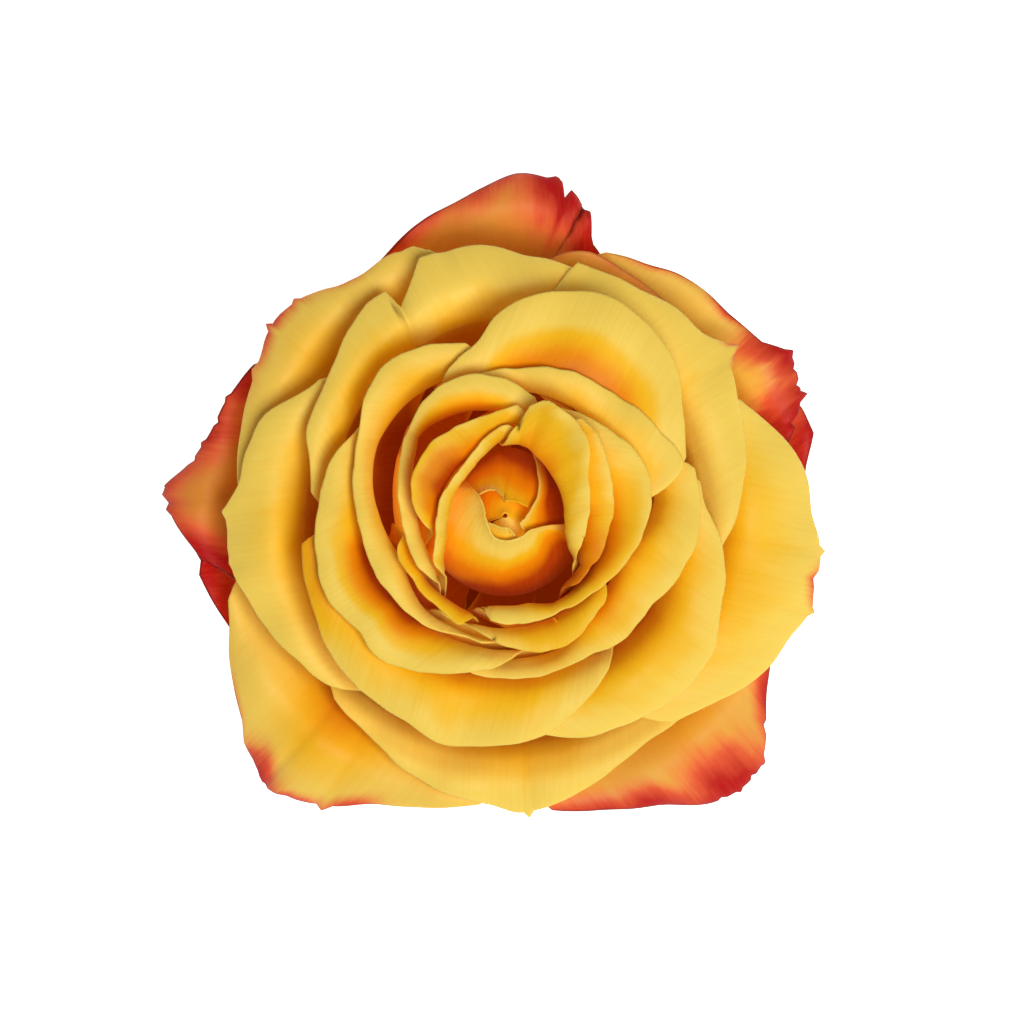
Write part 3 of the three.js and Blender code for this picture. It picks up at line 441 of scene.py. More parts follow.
# Sepals: direction in degrees and midline as [radius, height] points.
FOLDED = [[6.95, -3], [11, -6], [14.4, -9.5], [17, -13.5], [18.6, -17.6], [19.3, 0.3 - HIP_HEIGHT]]
SPREAD = [[6.95, -3], [14, -7.6], [23, -6.6], [31, -2.6], [38, 2.4], [44, 7.4]]
SEPALS = [(188, SPREAD), (260, FOLDED), (332, FOLDED), (44, FOLDED), (116, FOLDED)]

# The stem, hip and cone from the cut end to the tip, as [radius, height].
HIP_OUTLINE = [[3.2, -22], [3.2, -12], [4, -10], [6, -7.4], [6.7, -4.6], [6.5, -2]]
CONE_TIP_RISE = 0.2

# How finely the surfaces are divided. A petal's rows crowd towards the rim.
PROFILE_SAMPLES = 241
PETAL_COLUMNS = 64
PETAL_ROWS = 44
ROW_CROWDING = 1.35
SEPAL_ROWS = 60
SEPAL_COLUMNS = 17
SEPAL_SAMPLES = 400
STEM_SAMPLES = 120
STEM_SIDES = 72
STYLE_SIDES = 16
FILAMENT_ROWS = 14
FILAMENT_SIDES = 8
FLOOR_SIDES = 64

# How a petal widens above its claw, and the rows of its solid, which it widens with.
SEAT_GAP = 0.4
CLAW_WIDTH = 3.0
CLAW_FULLNESS = 1.5
CAD_ROWS = 7
CAD_LEAST_STEP = 0.12

# Long waves that cross the whole flower: height in millimetres, radians a millimetre along x and along y,
# and phase. They grow to their full height at FULL_WAVE_RADIUS.
LONG_WAVES = [(0.30, 0.36, 0.21, 0.7), (0.26, -0.24, 0.38, 2.1), (0.20, 0.47, -0.33, 4.0)]
FULL_WAVE_RADIUS = 20

# Fine form of a petal, in millimetres: crimping that fades inwards from the rim, a groove up its middle
# that starts below the rim, and how far in from the rim it reaches its full thickness. CRIMP_TURNS is in
# radians a degree. A petal of less than FULL_DETAIL_RADIUS has less of each.
CRIMP_DEPTH = 0.14
CRIMP_REACH = 3
CRIMP_TURNS = (0.24, 0.4)
GROOVE_DEPTH = 0.1
GROOVE_WIDTH = 1.1
GROOVE_START = 8
THICKENING = 5
FULL_DETAIL_RADIUS = 20
PETAL_SEED = 11
CRIMP_SEED_STEP = 500

# Painted glow of a petal that PAINTED_GLOW doesn't name, and where the glow sets in below the rim.
COMMON_PAINTED_GLOW = 0.08
GLOW_START = 2
GLOW_FULL_RADIUS = 10
GLOW_FADE = 6

# Millimetres that one unit of a surface map covers, the map's span along a sepal and round the stem, and
# how finely veins change along a map. Across it they have a fineness of their own for each material.
MAP_WIDTH = 40
PETAL_MAP_LENGTH = 60
SEPAL_MAP_SPAN = 0.5
STEM_MAP_SPAN = 0.6
FINENESS_ALONG = 5.0

# Where a petal's colour turns from rim to body, from body to deep and from deep to throat: the first and
# last place of each turn on the deepening scale, which mottling moves by up to UNEVEN_DEEPENING.
# The deep colour is partly the petal's own and partly painted shade. The dark throat is painted shade of the
# crevices near the claw.
COLOUR_TURNS = {
    "petal_heart": ((0.6, 3.2), (2.6, 8), (7, 15)),
    "petal_yellow": ((1.2, 7.5), (6, 16), (13, 28)),
    "petal_outer": ((2, 13), (10, 26), (20, 40)),
    "petal_guard": ((3, 20), (14, 36), (30, 50)),
}
UNEVEN_DEEPENING = 2.0

# The red flush: the power by which it fades inwards, how veins and mottling break it up, how strong it is
# where it turns coral and crimson, and the thin dark border, by distance from the rim in millimetres and
# by strength of the flush. Then how far veins and the outer side tint a petal.
FLUSH_FADE = 1.1
FLUSH_LEAST = 0.72
FLUSH_VEINS = 0.14
FLUSH_MOTTLE = 0.36
CORAL_RANGE = (0.02, 0.5)
CRIMSON_RANGE = (0.28, 0.8)
BORDER_RANGE = (0.4, 0.05)
BORDER_FLUSH = (0.1, 0.6)
VEIN_SHADE = 0.07
BACKING_SHARE = 0.25
PETAL_VEINS = 60

# A sepal: its width at the tip as a share, how it tapers, its side lobes as shares of its length, how far
# its edges are raised, how they curl, in millimetres and radians, and how thin its edges and tip are.
SEPAL_TIP_SHARE = 0.12
SEPAL_TAPER = 0.8
SEPAL_LOBES = (0.17, 0.5, 0.72)
LOBE_LENGTH = 0.022
LOBE_SWELL = 0.2
EDGE_RISE = 0.8
CURL_HEIGHT = 0.25
CURL_TURNS = 17
SEPAL_EDGE_SHARE = 0.45
SEPAL_TIP_THINNING = 0.5
INSIDE_PALENESS = 0.6

# The stem: its ribs and the height they end at, the cut end's radius and chamfer, where the smooth part
# starts above the cut, and the radius at which a turned end closes.
RIB_COUNT = 5
RIB_DEPTH = 0.018
RIB_TOP = -2
CUT_RADIUS = 2.9
CUT_CHAMFER = 0.3
SMOOTH_START = 0.6
END_RADIUS = 0.02
CUT_PALENESS = 0.8

# The column of styles as [radius, height], and the filaments that lean out round it: their foot's height
# and distance from the axis, the least and most they lean and rise, and the share where the anther starts.
STYLE_OUTLINE = [[0.02, 11.9], [1.0, 11.9], [0.85, 14], [0.8, 17], [0.5, 17.9], [0.02, 18]]
FILAMENT_COUNT = 26
GOLDEN_TURN = 2.39996
FILAMENT_FOOT = 12
FILAMENT_AWAY = 0.85
FILAMENT_LEAN = (0.15, 0.75)
FILAMENT_RISE = (4.2, 6.0)
FILAMENT_RADIUS = 0.07
ANTHER_START = 0.78
ANTHER_SWELL = 0.26
ANTHER_COLOUR_RANGE = (15, 17)
STAMEN_SEED = 77

# The studio, in metres, and the picture's width in pixels and the sensor's in millimetres.
FLOOR_RADIUS = 3
KEY_PLACE = (0.24, -0.26, 0.93)
KEY_WIDTH = 0.5
FILL_PLACE = (-0.6, 0.5, 0.7)
FILL_WIDTH = 0.8
LIGHT_TARGET = (0, 0, 0.04)
IMAGE_PIXELS = 1024
SENSOR_WIDTH = 36


def linear(red, green, blue):
    """Scene colour of a screen colour given as three numbers from 0 to 255."""
    share = np.array([red, green, blue]) / 255
    low = share / 12.92
    high = ((share + 0.055) / 1.055) ** 2.4
    return tuple(float(value) for value in np.where(share <= 0.04045, low, high))


# Shapes


def spline(points, places):
    """Uniform Catmull-Rom curve through points (..., n, 2), at places from 0 to n - 1.

    Between points 1 and 2 it is the cubic whose slopes are half the step between the points on
    either side, and the end points stand in for those beyond them.
    """
    last = points.shape[-2] - 1
    whole = np.clip(np.floor(places).astype(int), 0, last - 1)
    share = (places - whole)[..., None]
    corners = []
    for shift in (-1, 0, 1, 2):
        index = np.clip(whole + shift, 0, last)
        corners.append(np.take_along_axis(points, index[..., None].repeat(2, -1), -2))
    before, start, end, after = corners
    slope_in = (end - before) / 2
    slope_out = (after - start) / 2
    cubic = 2 * start - 2 * end + slope_in + slope_out
    square = -3 * start + 3 * end - 2 * slope_in - slope_out
    return ((cubic * share + square) * share + slope_in) * share + start


def bowl_profiles(numbers):
    """Profile points of each bowl number, mixed evenly between the two nearest bowls in the table."""
    levels = np.array([number for number, _ in BOWLS], float)
    table = np.array([points for _, points in BOWLS], float)
    above = np.clip(np.searchsorted(levels, numbers), 1, len(levels) - 1)
    mix = (numbers - levels[above - 1]) / (levels[above] - levels[above - 1])
    return table[above - 1] + mix[:, None, None] * (table[above] - table[above - 1])


def rim_curve(rim, directions):
    """Rim radius and drop at each direction: cubics through the rim's points, with a corner at tips.

    A point's slope is the mean of its two neighbouring secants, but where they differ sharply each
    side keeps its own secant, which leaves a pointed tip.
    """
    angles = np.array([point[0] for point in rim], float)
    values = np.array([[point[1], point[2] if len(point) > 2 else 0] for point in rim], float)
    secant = np.diff(values, axis=0) / np.diff(angles)[:, None]
    middle = (secant[1:] + secant[:-1]) / 2
    left = np.vstack([secant[:1], middle, secant[-1:]])
    right = left.copy()
    sharp = np.abs(secant[1:] - secant[:-1]) > np.array([0.42, 9])
    left[1:-1][sharp] = secant[:-1][sharp]
    right[1:-1][sharp] = secant[1:][sharp]
    segment = np.clip(np.searchsorted(angles, directions, side="right") - 1, 0, len(angles) - 2)
    width = (angles[segment + 1] - angles[segment])[:, None]
    share = ((directions - angles[segment])[:, None]) / width
    start = values[segment]
    end = values[segment + 1]
    slope_in = right[segment] * width
    slope_out = left[segment + 1] * width
    cubic = 2 * start - 2 * end + slope_in + slope_out
    square = -3 * start + 3 * end - 2 * slope_in - slope_out
    result = ((cubic * share + square) * share + slope_in) * share + start
    return result[:, 0], np.maximum(result[:, 1], 0)


def top_places(radii, profiles, radius):
    """Place along each profile where it has the wanted radius, looking back from the far edge.

    The look stops at the throat of an open bowl or the belly of a closed one.
    """
    steps = radii.shape[1] - 1
    trend = np.sign(radii[:, -2] - radii[:, -1])[:, None]
    inner = radii[:, :-1][:, ::-1]
    outer = radii[:, 1:][:, ::-1]
    turned = (inner - outer) * trend < 0
    crossed = ((inner - radius[:, None]) * (outer - radius[:, None]) <= 0) & (inner != outer)
    first_turn = np.where(turned.any(1), turned.argmax(1), steps)
    first_cross = np.where(crossed.any(1), crossed.argmax(1), steps + 1)
    found = first_cross < first_turn
    index = np.where(found, first_cross, first_turn)
    column = np.arange(len(radius))
    safe = np.clip(index, 0, steps - 1)
    low = inner[column, safe]
    high = outer[column, safe]
    gap = np.where(high == low, 1, high - low)
    sample = steps - index + np.where(found, (radius - low) / gap - 1, 0)
    beyond = (radii[:, -1] - radius) * trend[:, 0] > 0
    sample = np.where(beyond, steps, sample)
    return sample * (profiles.shape[1] - 1) / steps


def ripple(directions, seed, size):
    """Small uneven wave round an edge: a sum of five sines with seeded phases."""
    noise = np.random.default_rng(seed)
    waves = np.array([0.11, 0.19, 0.31, 0.47, 0.74])
    phase = noise.uniform(0, 2 * math.pi, 5)
    weight = noise.uniform(0.5, 1, 5) / np.sqrt(waves / 0.11)
    return size * (np.sin(directions[:, None] * waves + phase) * weight).sum(1)


def bowl_numbers(petal, directions):
    """Bowl number at each direction, mixed between the nearest of the petal's own."""
    known, numbers = zip(*petal["bowl"])
    return np.interp(directions, known, numbers)


def rim_details(tips, directions):
    """How far each direction of a rim is moved out: each tip is a straight-sided point or nick."""
    moved = np.zeros_like(directions)
    for centre, half_width, outward in tips:
        moved = moved + outward * np.clip(1 - np.abs(directions - centre) / half_width, 0, 1)
    return moved


def crease_depth(creases, directions, to_rim):
    """Depth of a petal's creases: for each, depth exp(-(turn / width)^2) exp(-distance / reach)."""
    sunk = np.zeros_like(to_rim)
    for centre, half_width, depth, reach in creases:
        across = np.exp(-((directions - centre) / half_width) ** 2)
        sunk = sunk + depth * across[None, :] * np.exp(-to_rim / reach)
    return sunk


def petal_grid(petal, tips, creases, seed, ruffle):
    """Points of a petal from claw to rim, their distances from the rim and across, and its directions.

    Each column ends at one direction of the rim, and there are columns at every point of the rim and
    its tips and creases. Rows lie at even shares of the length from the seat to the rim, closer
    together at the rim, and a column turns from the claw towards its direction as the petal widens:
    share + (1 - share) (1 - (1 - rise)^1.5). Every point is on the bowl of the direction it has by
    then. The rim is moved by its tips and a ripple.
    """
    rim = petal["rim"]
    first, last = rim[0][0], rim[-1][0]
    even = np.linspace(first, last, PETAL_COLUMNS)
    known = [float(point[0]) for point in rim]
    extra = []
    for centre, half_width, *_ in (*tips, *creases):
        extra += [centre + half_width * step for step in (-1, -0.5, 0, 0.5, 1)]
    directions = np.unique(np.concatenate([even, known, extra]))
    points = bowl_profiles(bowl_numbers(petal, directions))
    end = points.shape[1] - 1
    samples = np.linspace(0, end, PROFILE_SAMPLES)
    drawn = spline(points, np.broadcast_to(samples, (len(directions), PROFILE_SAMPLES)))
    steps = np.linalg.norm(np.diff(drawn, axis=1), axis=2)
    lengths = np.concatenate([np.zeros((len(directions), 1)), steps.cumsum(1)], 1)
    radius, dropped = rim_curve(rim, directions)
    radius = radius + ripple(directions, seed, ruffle) + rim_details(tips, directions)
    place = top_places(drawn[:, :, 0], points, radius)
    rim_length = np.array([
        np.interp(place[i], samples, lengths[i]) for i in range(len(directions))
    ]) - dropped
    rim_length = np.maximum(rim_length, SEAT_GAP + 1)
    share = 1 - (1 - np.linspace(0, 1, PETAL_ROWS)) ** ROW_CROWDING
    along = SEAT_GAP + share[:, None] * (rim_length - SEAT_GAP)
    rows = np.arange(CAD_ROWS + 1)
    grid_places = np.empty_like(along)
    rise = np.empty_like(along)
    for i in range(len(directions)):
        grid_places[:, i] = np.interp(along[:, i], lengths[i], samples)
        top = np.interp(rim_length[i], lengths[i], samples)
        knots = np.minimum(rows, top - (CAD_ROWS - rows) * CAD_LEAST_STEP)
        knots[-1] = top
        knots[0] = np.interp(SEAT_GAP, lengths[i], samples)
        rise[:, i] = np.interp(grid_places[:, i], knots, rows / CAD_ROWS)
    claw = petal["claw"]
    claw_radius = bowl_profiles(bowl_numbers(petal, np.array([claw])))[0, 0, 0]
    claw_share = CLAW_WIDTH / (claw_radius * math.radians(last - first))
    spread = claw_share + (1 - claw_share) * (1 - (1 - rise) ** CLAW_FULLNESS)
    angle = claw + (directions - claw) * spread
    own = bowl_profiles(bowl_numbers(petal, angle.ravel()))
    outline = spline(own, grid_places.reshape(-1, 1)).reshape(*angle.shape, 2)
    reach = outline[:, :, 0]
    turn = np.radians(angle)
    grid = np.stack([reach * np.cos(turn), reach * np.sin(turn), outline[:, :, 1]], 2)
    to_rim = rim_length - along
    across = np.radians(directions - (first + last) / 2) * reach * spread
    return grid, to_rim, across, directions


def grid_normals(grid):
    """Unit normals of a grid, from the cross product of its slopes across and along."""
    along = np.gradient(grid, axis=0)
    across = np.gradient(grid, axis=1)
    normal = np.cross(across, along)
    size = np.linalg.norm(normal, axis=2, keepdims=True)
    return normal / np.maximum(size, 1e-9)


def undulate(points):
    """Lifts and lowers the whole flower by three crossing long waves, so that neighbours stay apart."""
    x, y = points[..., 0], points[..., 1]
    lift = np.zeros_like(x)
    for height, along_x, along_y, phase in LONG_WAVES:
        lift = lift + height * np.sin(along_x * x + along_y * y + phase)
    outward = np.clip(np.hypot(x, y) / FULL_WAVE_RADIUS, 0, 1)
    moved = points.copy()
    moved[..., 2] += lift * outward
    return moved


def sheet_faces(rows, columns):
    """Quads of a closed sheet: the outer face, the inner face turned round, and the border strip."""
    index = np.arange(rows * columns).reshape(rows, columns)
    outer = np.stack([index[:-1, :-1], index[:-1, 1:], index[1:, 1:], index[1:, :-1]], 2)
    outer = outer.reshape(-1, 4)
    inner = outer[:, ::-1] + rows * columns
    loop = np.concatenate([index[0, :-1], index[:-1, -1], index[-1, :0:-1], index[:0:-1, 0]])
    following = np.roll(loop, -1)
    far = rows * columns
    strip = np.stack([loop, loop + far, following + far, following], 1)
    return np.concatenate([outer, inner, strip])


def place_in_part(points):
    """Moves points from the flower's axis, in millimetres, to the part's frame, in metres."""
    return points * MM + np.array([AXIS_X, AXIS_Y, HIP_TOP])


def new_piece(name, points, faces, nodes, attributes=None, uv=None):
    """Makes a mesh object of four-sided faces at the origin, riding on the part."""
    mesh = bpy.data.meshes.new(name)
    mesh.vertices.add(len(points))
    mesh.vertices.foreach_set("co", points.astype(np.float32).ravel())
    mesh.loops.add(faces.size)
    mesh.loops.foreach_set("vertex_index", faces.astype(np.int32).ravel())
    mesh.polygons.add(len(faces))
    mesh.polygons.foreach_set("loop_start", np.arange(0, faces.size, 4, dtype=np.int32))
    mesh.polygons.foreach_set("use_smooth", np.ones(len(faces), bool))
    mesh.update(calc_edges=True)
    for title, values in (attributes or {}).items():
        layer = mesh.attributes.new(title, "FLOAT", "POINT")
        layer.data.foreach_set("value", values.astype(np.float32).ravel())
    if uv is not None:
        layer = mesh.uv_layers.new(name="SurfaceMap")
        layer.data.foreach_set("uv", uv[faces.ravel()].astype(np.float32).ravel())
    piece = bpy.data.objects.new(name, mesh)
    bpy.context.scene.collection.objects.link(piece)
    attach(piece, "root")
    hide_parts(*nodes)
    return piece


def both_sides(values):
    """A sheet's values once for its outer face and once for its inner face."""
    return np.concatenate([values.ravel(), values.ravel()])


def flush_mask(name, directions, to_rim):
    """How red each point is: the strongest of the petal's flushed places, fading away from the rim."""
    mask = np.zeros_like(to_rim)
    for centre, half_width, reach, strength in FLUSH.get(name, []):
        across = np.exp(-((directions - centre) / half_width) ** 2)
        fade = np.clip(1 - to_rim / reach, 0, 1) ** FLUSH_FADE
        mask = np.maximum(mask, strength * across[None, :] * fade)
    return mask


def painted_glow_mask(name, size, to_rim):
    """Strength of the painted glow: none at the rim, growing evenly over GLOW_FADE below it."""
    below = to_rim - GLOW_START * min(1, size / GLOW_FULL_RADIUS)
    return PAINTED_GLOW.get(name, COMMON_PAINTED_GLOW) * np.clip(below / GLOW_FADE, 0, 1)


def build_petal(name, settings, seed):
    """Makes one petal: a thin closed sheet on its bowls, with a rolled and waved rim and its creases.

    The roll is depth (1 - distance / width)^2, the crimp a sine along the rim that fades as
    exp(-distance / reach), and the groove depth exp(-(across / width)^2) up the middle. These and the
    creases move the sheet along its normal. Then the whole flower's long waves move it up and down.
    """
    petal = PETALS[name]
    size = petal["rim"][len(petal["rim"]) // 2][1]
    detail = min(1, size / FULL_DETAIL_RADIUS)
    tips = TIPS.get(name, [])
    creases = CREASES.get(name, [])
    grid, to_rim, across, directions = petal_grid(petal, tips, creases, seed, settings.ruffle / MM * detail)
    noise = np.random.default_rng(seed + CRIMP_SEED_STEP)
    roll = settings.roll_depth / MM * np.clip(1 - to_rim / (settings.roll_width / MM), 0, 1) ** 2
    wave = noise.uniform(*CRIMP_TURNS)
    phase = noise.uniform(0, 6)
    crimp = CRIMP_DEPTH * np.sin(directions * wave + phase) * np.exp(-to_rim / CRIMP_REACH)
    groove = GROOVE_DEPTH * np.exp(-(across / GROOVE_WIDTH) ** 2) * np.clip(to_rim / GROOVE_START, 0, 1)
    crease = crease_depth(creases, directions, to_rim)
    grid = grid + grid_normals(grid) * (roll + crease + (crimp + groove) * detail)[:, :, None]
    grid = undulate(grid)
    normal = grid_normals(grid)
    thick = settings.thickness / MM
    edge = settings.edge_thickness / MM
    half = (edge + (thick - edge) * np.clip(to_rim / THICKENING, 0, 1)) / 2
    outer = grid + normal * half[:, :, None]
    inner = grid - normal * half[:, :, None]
    points = place_in_part(np.concatenate([outer.reshape(-1, 3), inner.reshape(-1, 3)]))
    # Deepening scale: distance from the rim, sped up and offset by direction. Besides the petal's own
    # deepening colour, this paints shade and light onto the petal.
    bearing, speed, start = zip(*DEEPENING_AND_PAINTED_LIGHT.get(name, [(0, 1, 0)]))
    depth = to_rim * np.interp(directions, bearing, speed) + np.interp(directions, bearing, start)
    attributes = {
        "deepening_and_painted_light": both_sides(depth),
        "red_flush": both_sides(flush_mask(name, directions, to_rim)),
        "painted_glow": both_sides(painted_glow_mask(name, size, to_rim)),
        "warm_tint": np.full(2 * to_rim.size, ORANGE_TINT.get(name, 0.0)),
        "outer_side": np.concatenate([np.ones(to_rim.size), np.zeros(to_rim.size)]),
    }
    uv = np.stack([both_sides(across) / MAP_WIDTH + 0.5, both_sides(to_rim) / PETAL_MAP_LENGTH], 1)
    piece = new_piece(
        name + "_petal",
        points,
        sheet_faces(*to_rim.shape),
        [name],
        attributes,
        uv,
    )
    piece.data.materials.append(petal_material(petal["slot"], settings))


# Materials


def new_material(name):
    """A new node material, its tree and its shader. A glow it may have isn't sampled as a lamp."""
    material = bpy.data.materials.new(name)
    material.use_nodes = True
    material.cycles.emission_sampling = "NONE"
    tree = material.node_tree
    tree.nodes.clear()
    shader = tree.nodes.new("ShaderNodeBsdfPrincipled")
    output = tree.nodes.new("ShaderNodeOutputMaterial")
    tree.links.new(shader.outputs["BSDF"], output.inputs["Surface"])
    return material, tree, shader


def attribute_node(tree, name):
    """The output of a per-vertex value."""
    node = tree.nodes.new("ShaderNodeAttribute")
    node.attribute_name = name
    return node.outputs["Fac"]


def mix_colour(tree, factor, first, second, mode="MIX"):
    """The output of two colours mixed; each may be a socket or a colour."""
    node = tree.nodes.new("ShaderNodeMix")
    node.data_type = "RGBA"
    node.blend_type = mode
    for socket, value in ((node.inputs[0], factor), (node.inputs[6], first), (node.inputs[7], second)):
        if isinstance(value, bpy.types.NodeSocket):
            tree.links.new(value, socket)
        elif isinstance(value, (int, float)):
            socket.default_value = value
        else:
            socket.default_value = (*value[:3], 1)
    return node.outputs[2]


def scalar(tree, operation, *values):
    """The output of a Math node."""
    node = tree.nodes.new("ShaderNodeMath")
    node.operation = operation
    for socket, value in zip(node.inputs, values):
        if isinstance(value, bpy.types.NodeSocket):
            tree.links.new(value, socket)
        else:
            socket.default_value = value
    return node.outputs[0]


def ramp(tree, factor, stops):
    """The output of a smooth ramp from 0 to 1, given as two places."""
    node = tree.nodes.new("ShaderNodeMapRange")
    node.interpolation_type = "SMOOTHSTEP"
    tree.links.new(factor, node.inputs["Value"])
    node.inputs["From Min"].default_value = stops[0]
    node.inputs["From Max"].default_value = stops[1]
    return node.outputs["Result"]


def vein_group():
    """Node group: fine veins that fan from the claw, and soft mottling, for petals and sepals."""
    existing = bpy.data.node_groups.get("Petal Veins")
    if existing:
        return existing
    tree = bpy.data.node_groups.new("Petal Veins", "ShaderNodeTree")
    tree.interface.new_socket("Map", in_out="INPUT", socket_type="NodeSocketVector")
    fineness = tree.interface.new_socket("Fineness", in_out="INPUT", socket_type="NodeSocketFloat")
    fineness.default_value = PETAL_VEINS
    tree.interface.new_socket("Veins", in_out="OUTPUT", socket_type="NodeSocketFloat")
    tree.interface.new_socket("Mottle", in_out="OUTPUT", socket_type="NodeSocketFloat")
    tree.interface.new_socket("Height", in_out="OUTPUT", socket_type="NodeSocketFloat")
    entry = tree.nodes.new("NodeGroupInput")
    leave = tree.nodes.new("NodeGroupOutput")
    split = tree.nodes.new("ShaderNodeSeparateXYZ")
    tree.links.new(entry.outputs["Map"], split.inputs[0])
    join = tree.nodes.new("ShaderNodeCombineXYZ")
    wide = scalar(tree, "MULTIPLY", split.outputs["X"], entry.outputs["Fineness"])
    tall = scalar(tree, "MULTIPLY", split.outputs["Y"], FINENESS_ALONG)
    tree.links.new(wide, join.inputs["X"])
    tree.links.new(tall, join.inputs["Y"])
    streak = tree.nodes.new("ShaderNodeTexNoise")
    streak.inputs["Scale"].default_value = 1.0
    streak.inputs["Detail"].default_value = 4.0
    streak.inputs["Roughness"].default_value = 0.6
    tree.links.new(join.outputs[0], streak.inputs["Vector"])
    soft = tree.nodes.new("ShaderNodeTexNoise")
    soft.inputs["Scale"].default_value = 7.0
    soft.inputs["Detail"].default_value = 3.0
    tree.links.new(entry.outputs["Map"], soft.inputs["Vector"])
    veins = ramp(tree, streak.outputs["Fac"], (0.36, 0.68))
    mottle = ramp(tree, soft.outputs["Fac"], (0.3, 0.7))
    height = scalar(tree, "ADD", scalar(tree, "MULTIPLY", veins, 0.7), scalar(tree, "MULTIPLY", mottle, 0.3))
    tree.links.new(veins, leave.inputs["Veins"])
    tree.links.new(mottle, leave.inputs["Mottle"])
    tree.links.new(height, leave.inputs["Height"])
    return tree


def add_veins(tree, fineness):
    """Adds the vein group, laid out by the piece's own surface map, and gives its outputs."""
    place = tree.nodes.new("ShaderNodeUVMap")
    place.uv_map = "SurfaceMap"
    veins = tree.nodes.new("ShaderNodeGroup")
    veins.node_tree = vein_group()
    veins.inputs["Fineness"].default_value = fineness
    tree.links.new(place.outputs["UV"], veins.inputs["Map"])
    return veins.outputs


def add_bump(tree, shader, height, strength, distance):
    """Gives a shader fine relief from a height."""
    bump = tree.nodes.new("ShaderNodeBump")
    bump.inputs["Strength"].default_value = strength
    bump.inputs["Distance"].default_value = distance
    tree.links.new(height, bump.inputs["Height"])
    tree.links.new(bump.outputs["Normal"], shader.inputs["Normal"])


def petal_material(slot, settings):
    """Petal skin: pale at the rim and deeper yellow and orange towards the claw, partly its own colour and
    partly painted shade. It darkens to a painted shadowed throat, has a painted glow in its depths, and is
    flushed red in places.
    """
    title = "Rose " + slot.replace("_", " ")
    existing = bpy.data.materials.get(title)
    if existing:
        return existing
    material, tree, shader = new_material(title)
    # Deepening scale, carrying painted light and shade as well as the petal's own deepening colour.
    distance = attribute_node(tree, "deepening_and_painted_light")
    red = attribute_node(tree, "red_flush")
    back = attribute_node(tree, "outer_side")
    tint = attribute_node(tree, "warm_tint")
    veins = add_veins(tree, PETAL_VEINS)
    uneven = scalar(tree, "MULTIPLY_ADD", veins["Mottle"], UNEVEN_DEEPENING, distance)
    # Rim to body to deep to throat: the petal's own deepening colour together with painted shade, which is
    # darkest in the painted shadow of the throat.
    colour = settings.rim_colour
    deeper = (settings.body_colour, settings.deep_colour, settings.throat_shade_colour)
    for turn, next_colour in zip(COLOUR_TURNS[slot], deeper):
        colour = mix_colour(tree, ramp(tree, uneven, turn), colour, next_colour)
    colour = mix_colour(tree, tint, colour, settings.warm_colour)
    streaked = scalar(tree, "MULTIPLY_ADD", veins["Veins"], FLUSH_VEINS, FLUSH_LEAST)
    patchy = scalar(tree, "MULTIPLY_ADD", veins["Mottle"], FLUSH_MOTTLE, streaked)
    strength = scalar(tree, "MULTIPLY", red, patchy)
    colour = mix_colour(tree, ramp(tree, strength, CORAL_RANGE), colour, settings.coral_colour)
    colour = mix_colour(tree, ramp(tree, strength, CRIMSON_RANGE), colour, settings.red_colour)
    if slot == "petal_guard":
        at_rim = ramp(tree, distance, BORDER_RANGE)
        flushed = ramp(tree, red, BORDER_FLUSH)
        border = scalar(tree, "MULTIPLY", at_rim, flushed)
        colour = mix_colour(tree, border, colour, settings.edge_colour)
    shade = scalar(tree, "MULTIPLY", veins["Veins"], VEIN_SHADE)
    colour = mix_colour(tree, shade, colour, settings.deep_colour)
    if slot != "petal_heart":
        backing = scalar(tree, "MULTIPLY", back, BACKING_SHARE)
        colour = mix_colour(tree, backing, colour, settings.back_colour)
    tree.links.new(colour, shader.inputs["Base Color"])
    # Painted glow: the petal's colour emitted in its depths, standing in for light shining through it. It
    # shows even where no light falls.
    through = attribute_node(tree, "painted_glow")
    glow = mix_colour(tree, through, (0, 0, 0), colour)
    tree.links.new(glow, shader.inputs["Emission Color"])
    shader.inputs["Emission Strength"].default_value = settings.glow
    rough = scalar(tree, "MULTIPLY_ADD", veins["Mottle"], 0.12, 0.42)
    tree.links.new(rough, shader.inputs["Roughness"])
    add_bump(tree, shader, veins["Height"], 0.18, 0.0002)
    shader.inputs["Specular IOR Level"].default_value = 0.14
    shader.inputs["Sheen Weight"].default_value = 0.03
    shader.inputs["Sheen Roughness"].default_value = 0.4
    return material


def green_material(title, colours, fineness, rough):
    """Green skin: the first two colours mottled, the third at its ends, and the first along the veins."""
    existing = bpy.data.materials.get(title)
    if existing:
        return existing
    material, tree, shader = new_material(title)
    veins = add_veins(tree, fineness)
    dark, light, end_colour = colours
    colour = mix_colour(tree, veins["Mottle"], dark, light)
    end = attribute_node(tree, "end_share")
    colour = mix_colour(tree, end, colour, end_colour)
    shade = scalar(tree, "MULTIPLY", veins["Veins"], 0.3)
    colour = mix_colour(tree, shade, colour, dark)
    tree.links.new(colour, shader.inputs["Base Color"])
    roughness = scalar(tree, "MULTIPLY_ADD", veins["Veins"], 0.15, rough)
    tree.links.new(roughness, shader.inputs["Roughness"])
    add_bump(tree, shader, veins["Height"], 0.3, 0.0003)
    shader.inputs["Specular IOR Level"].default_value = 0.35
    return material


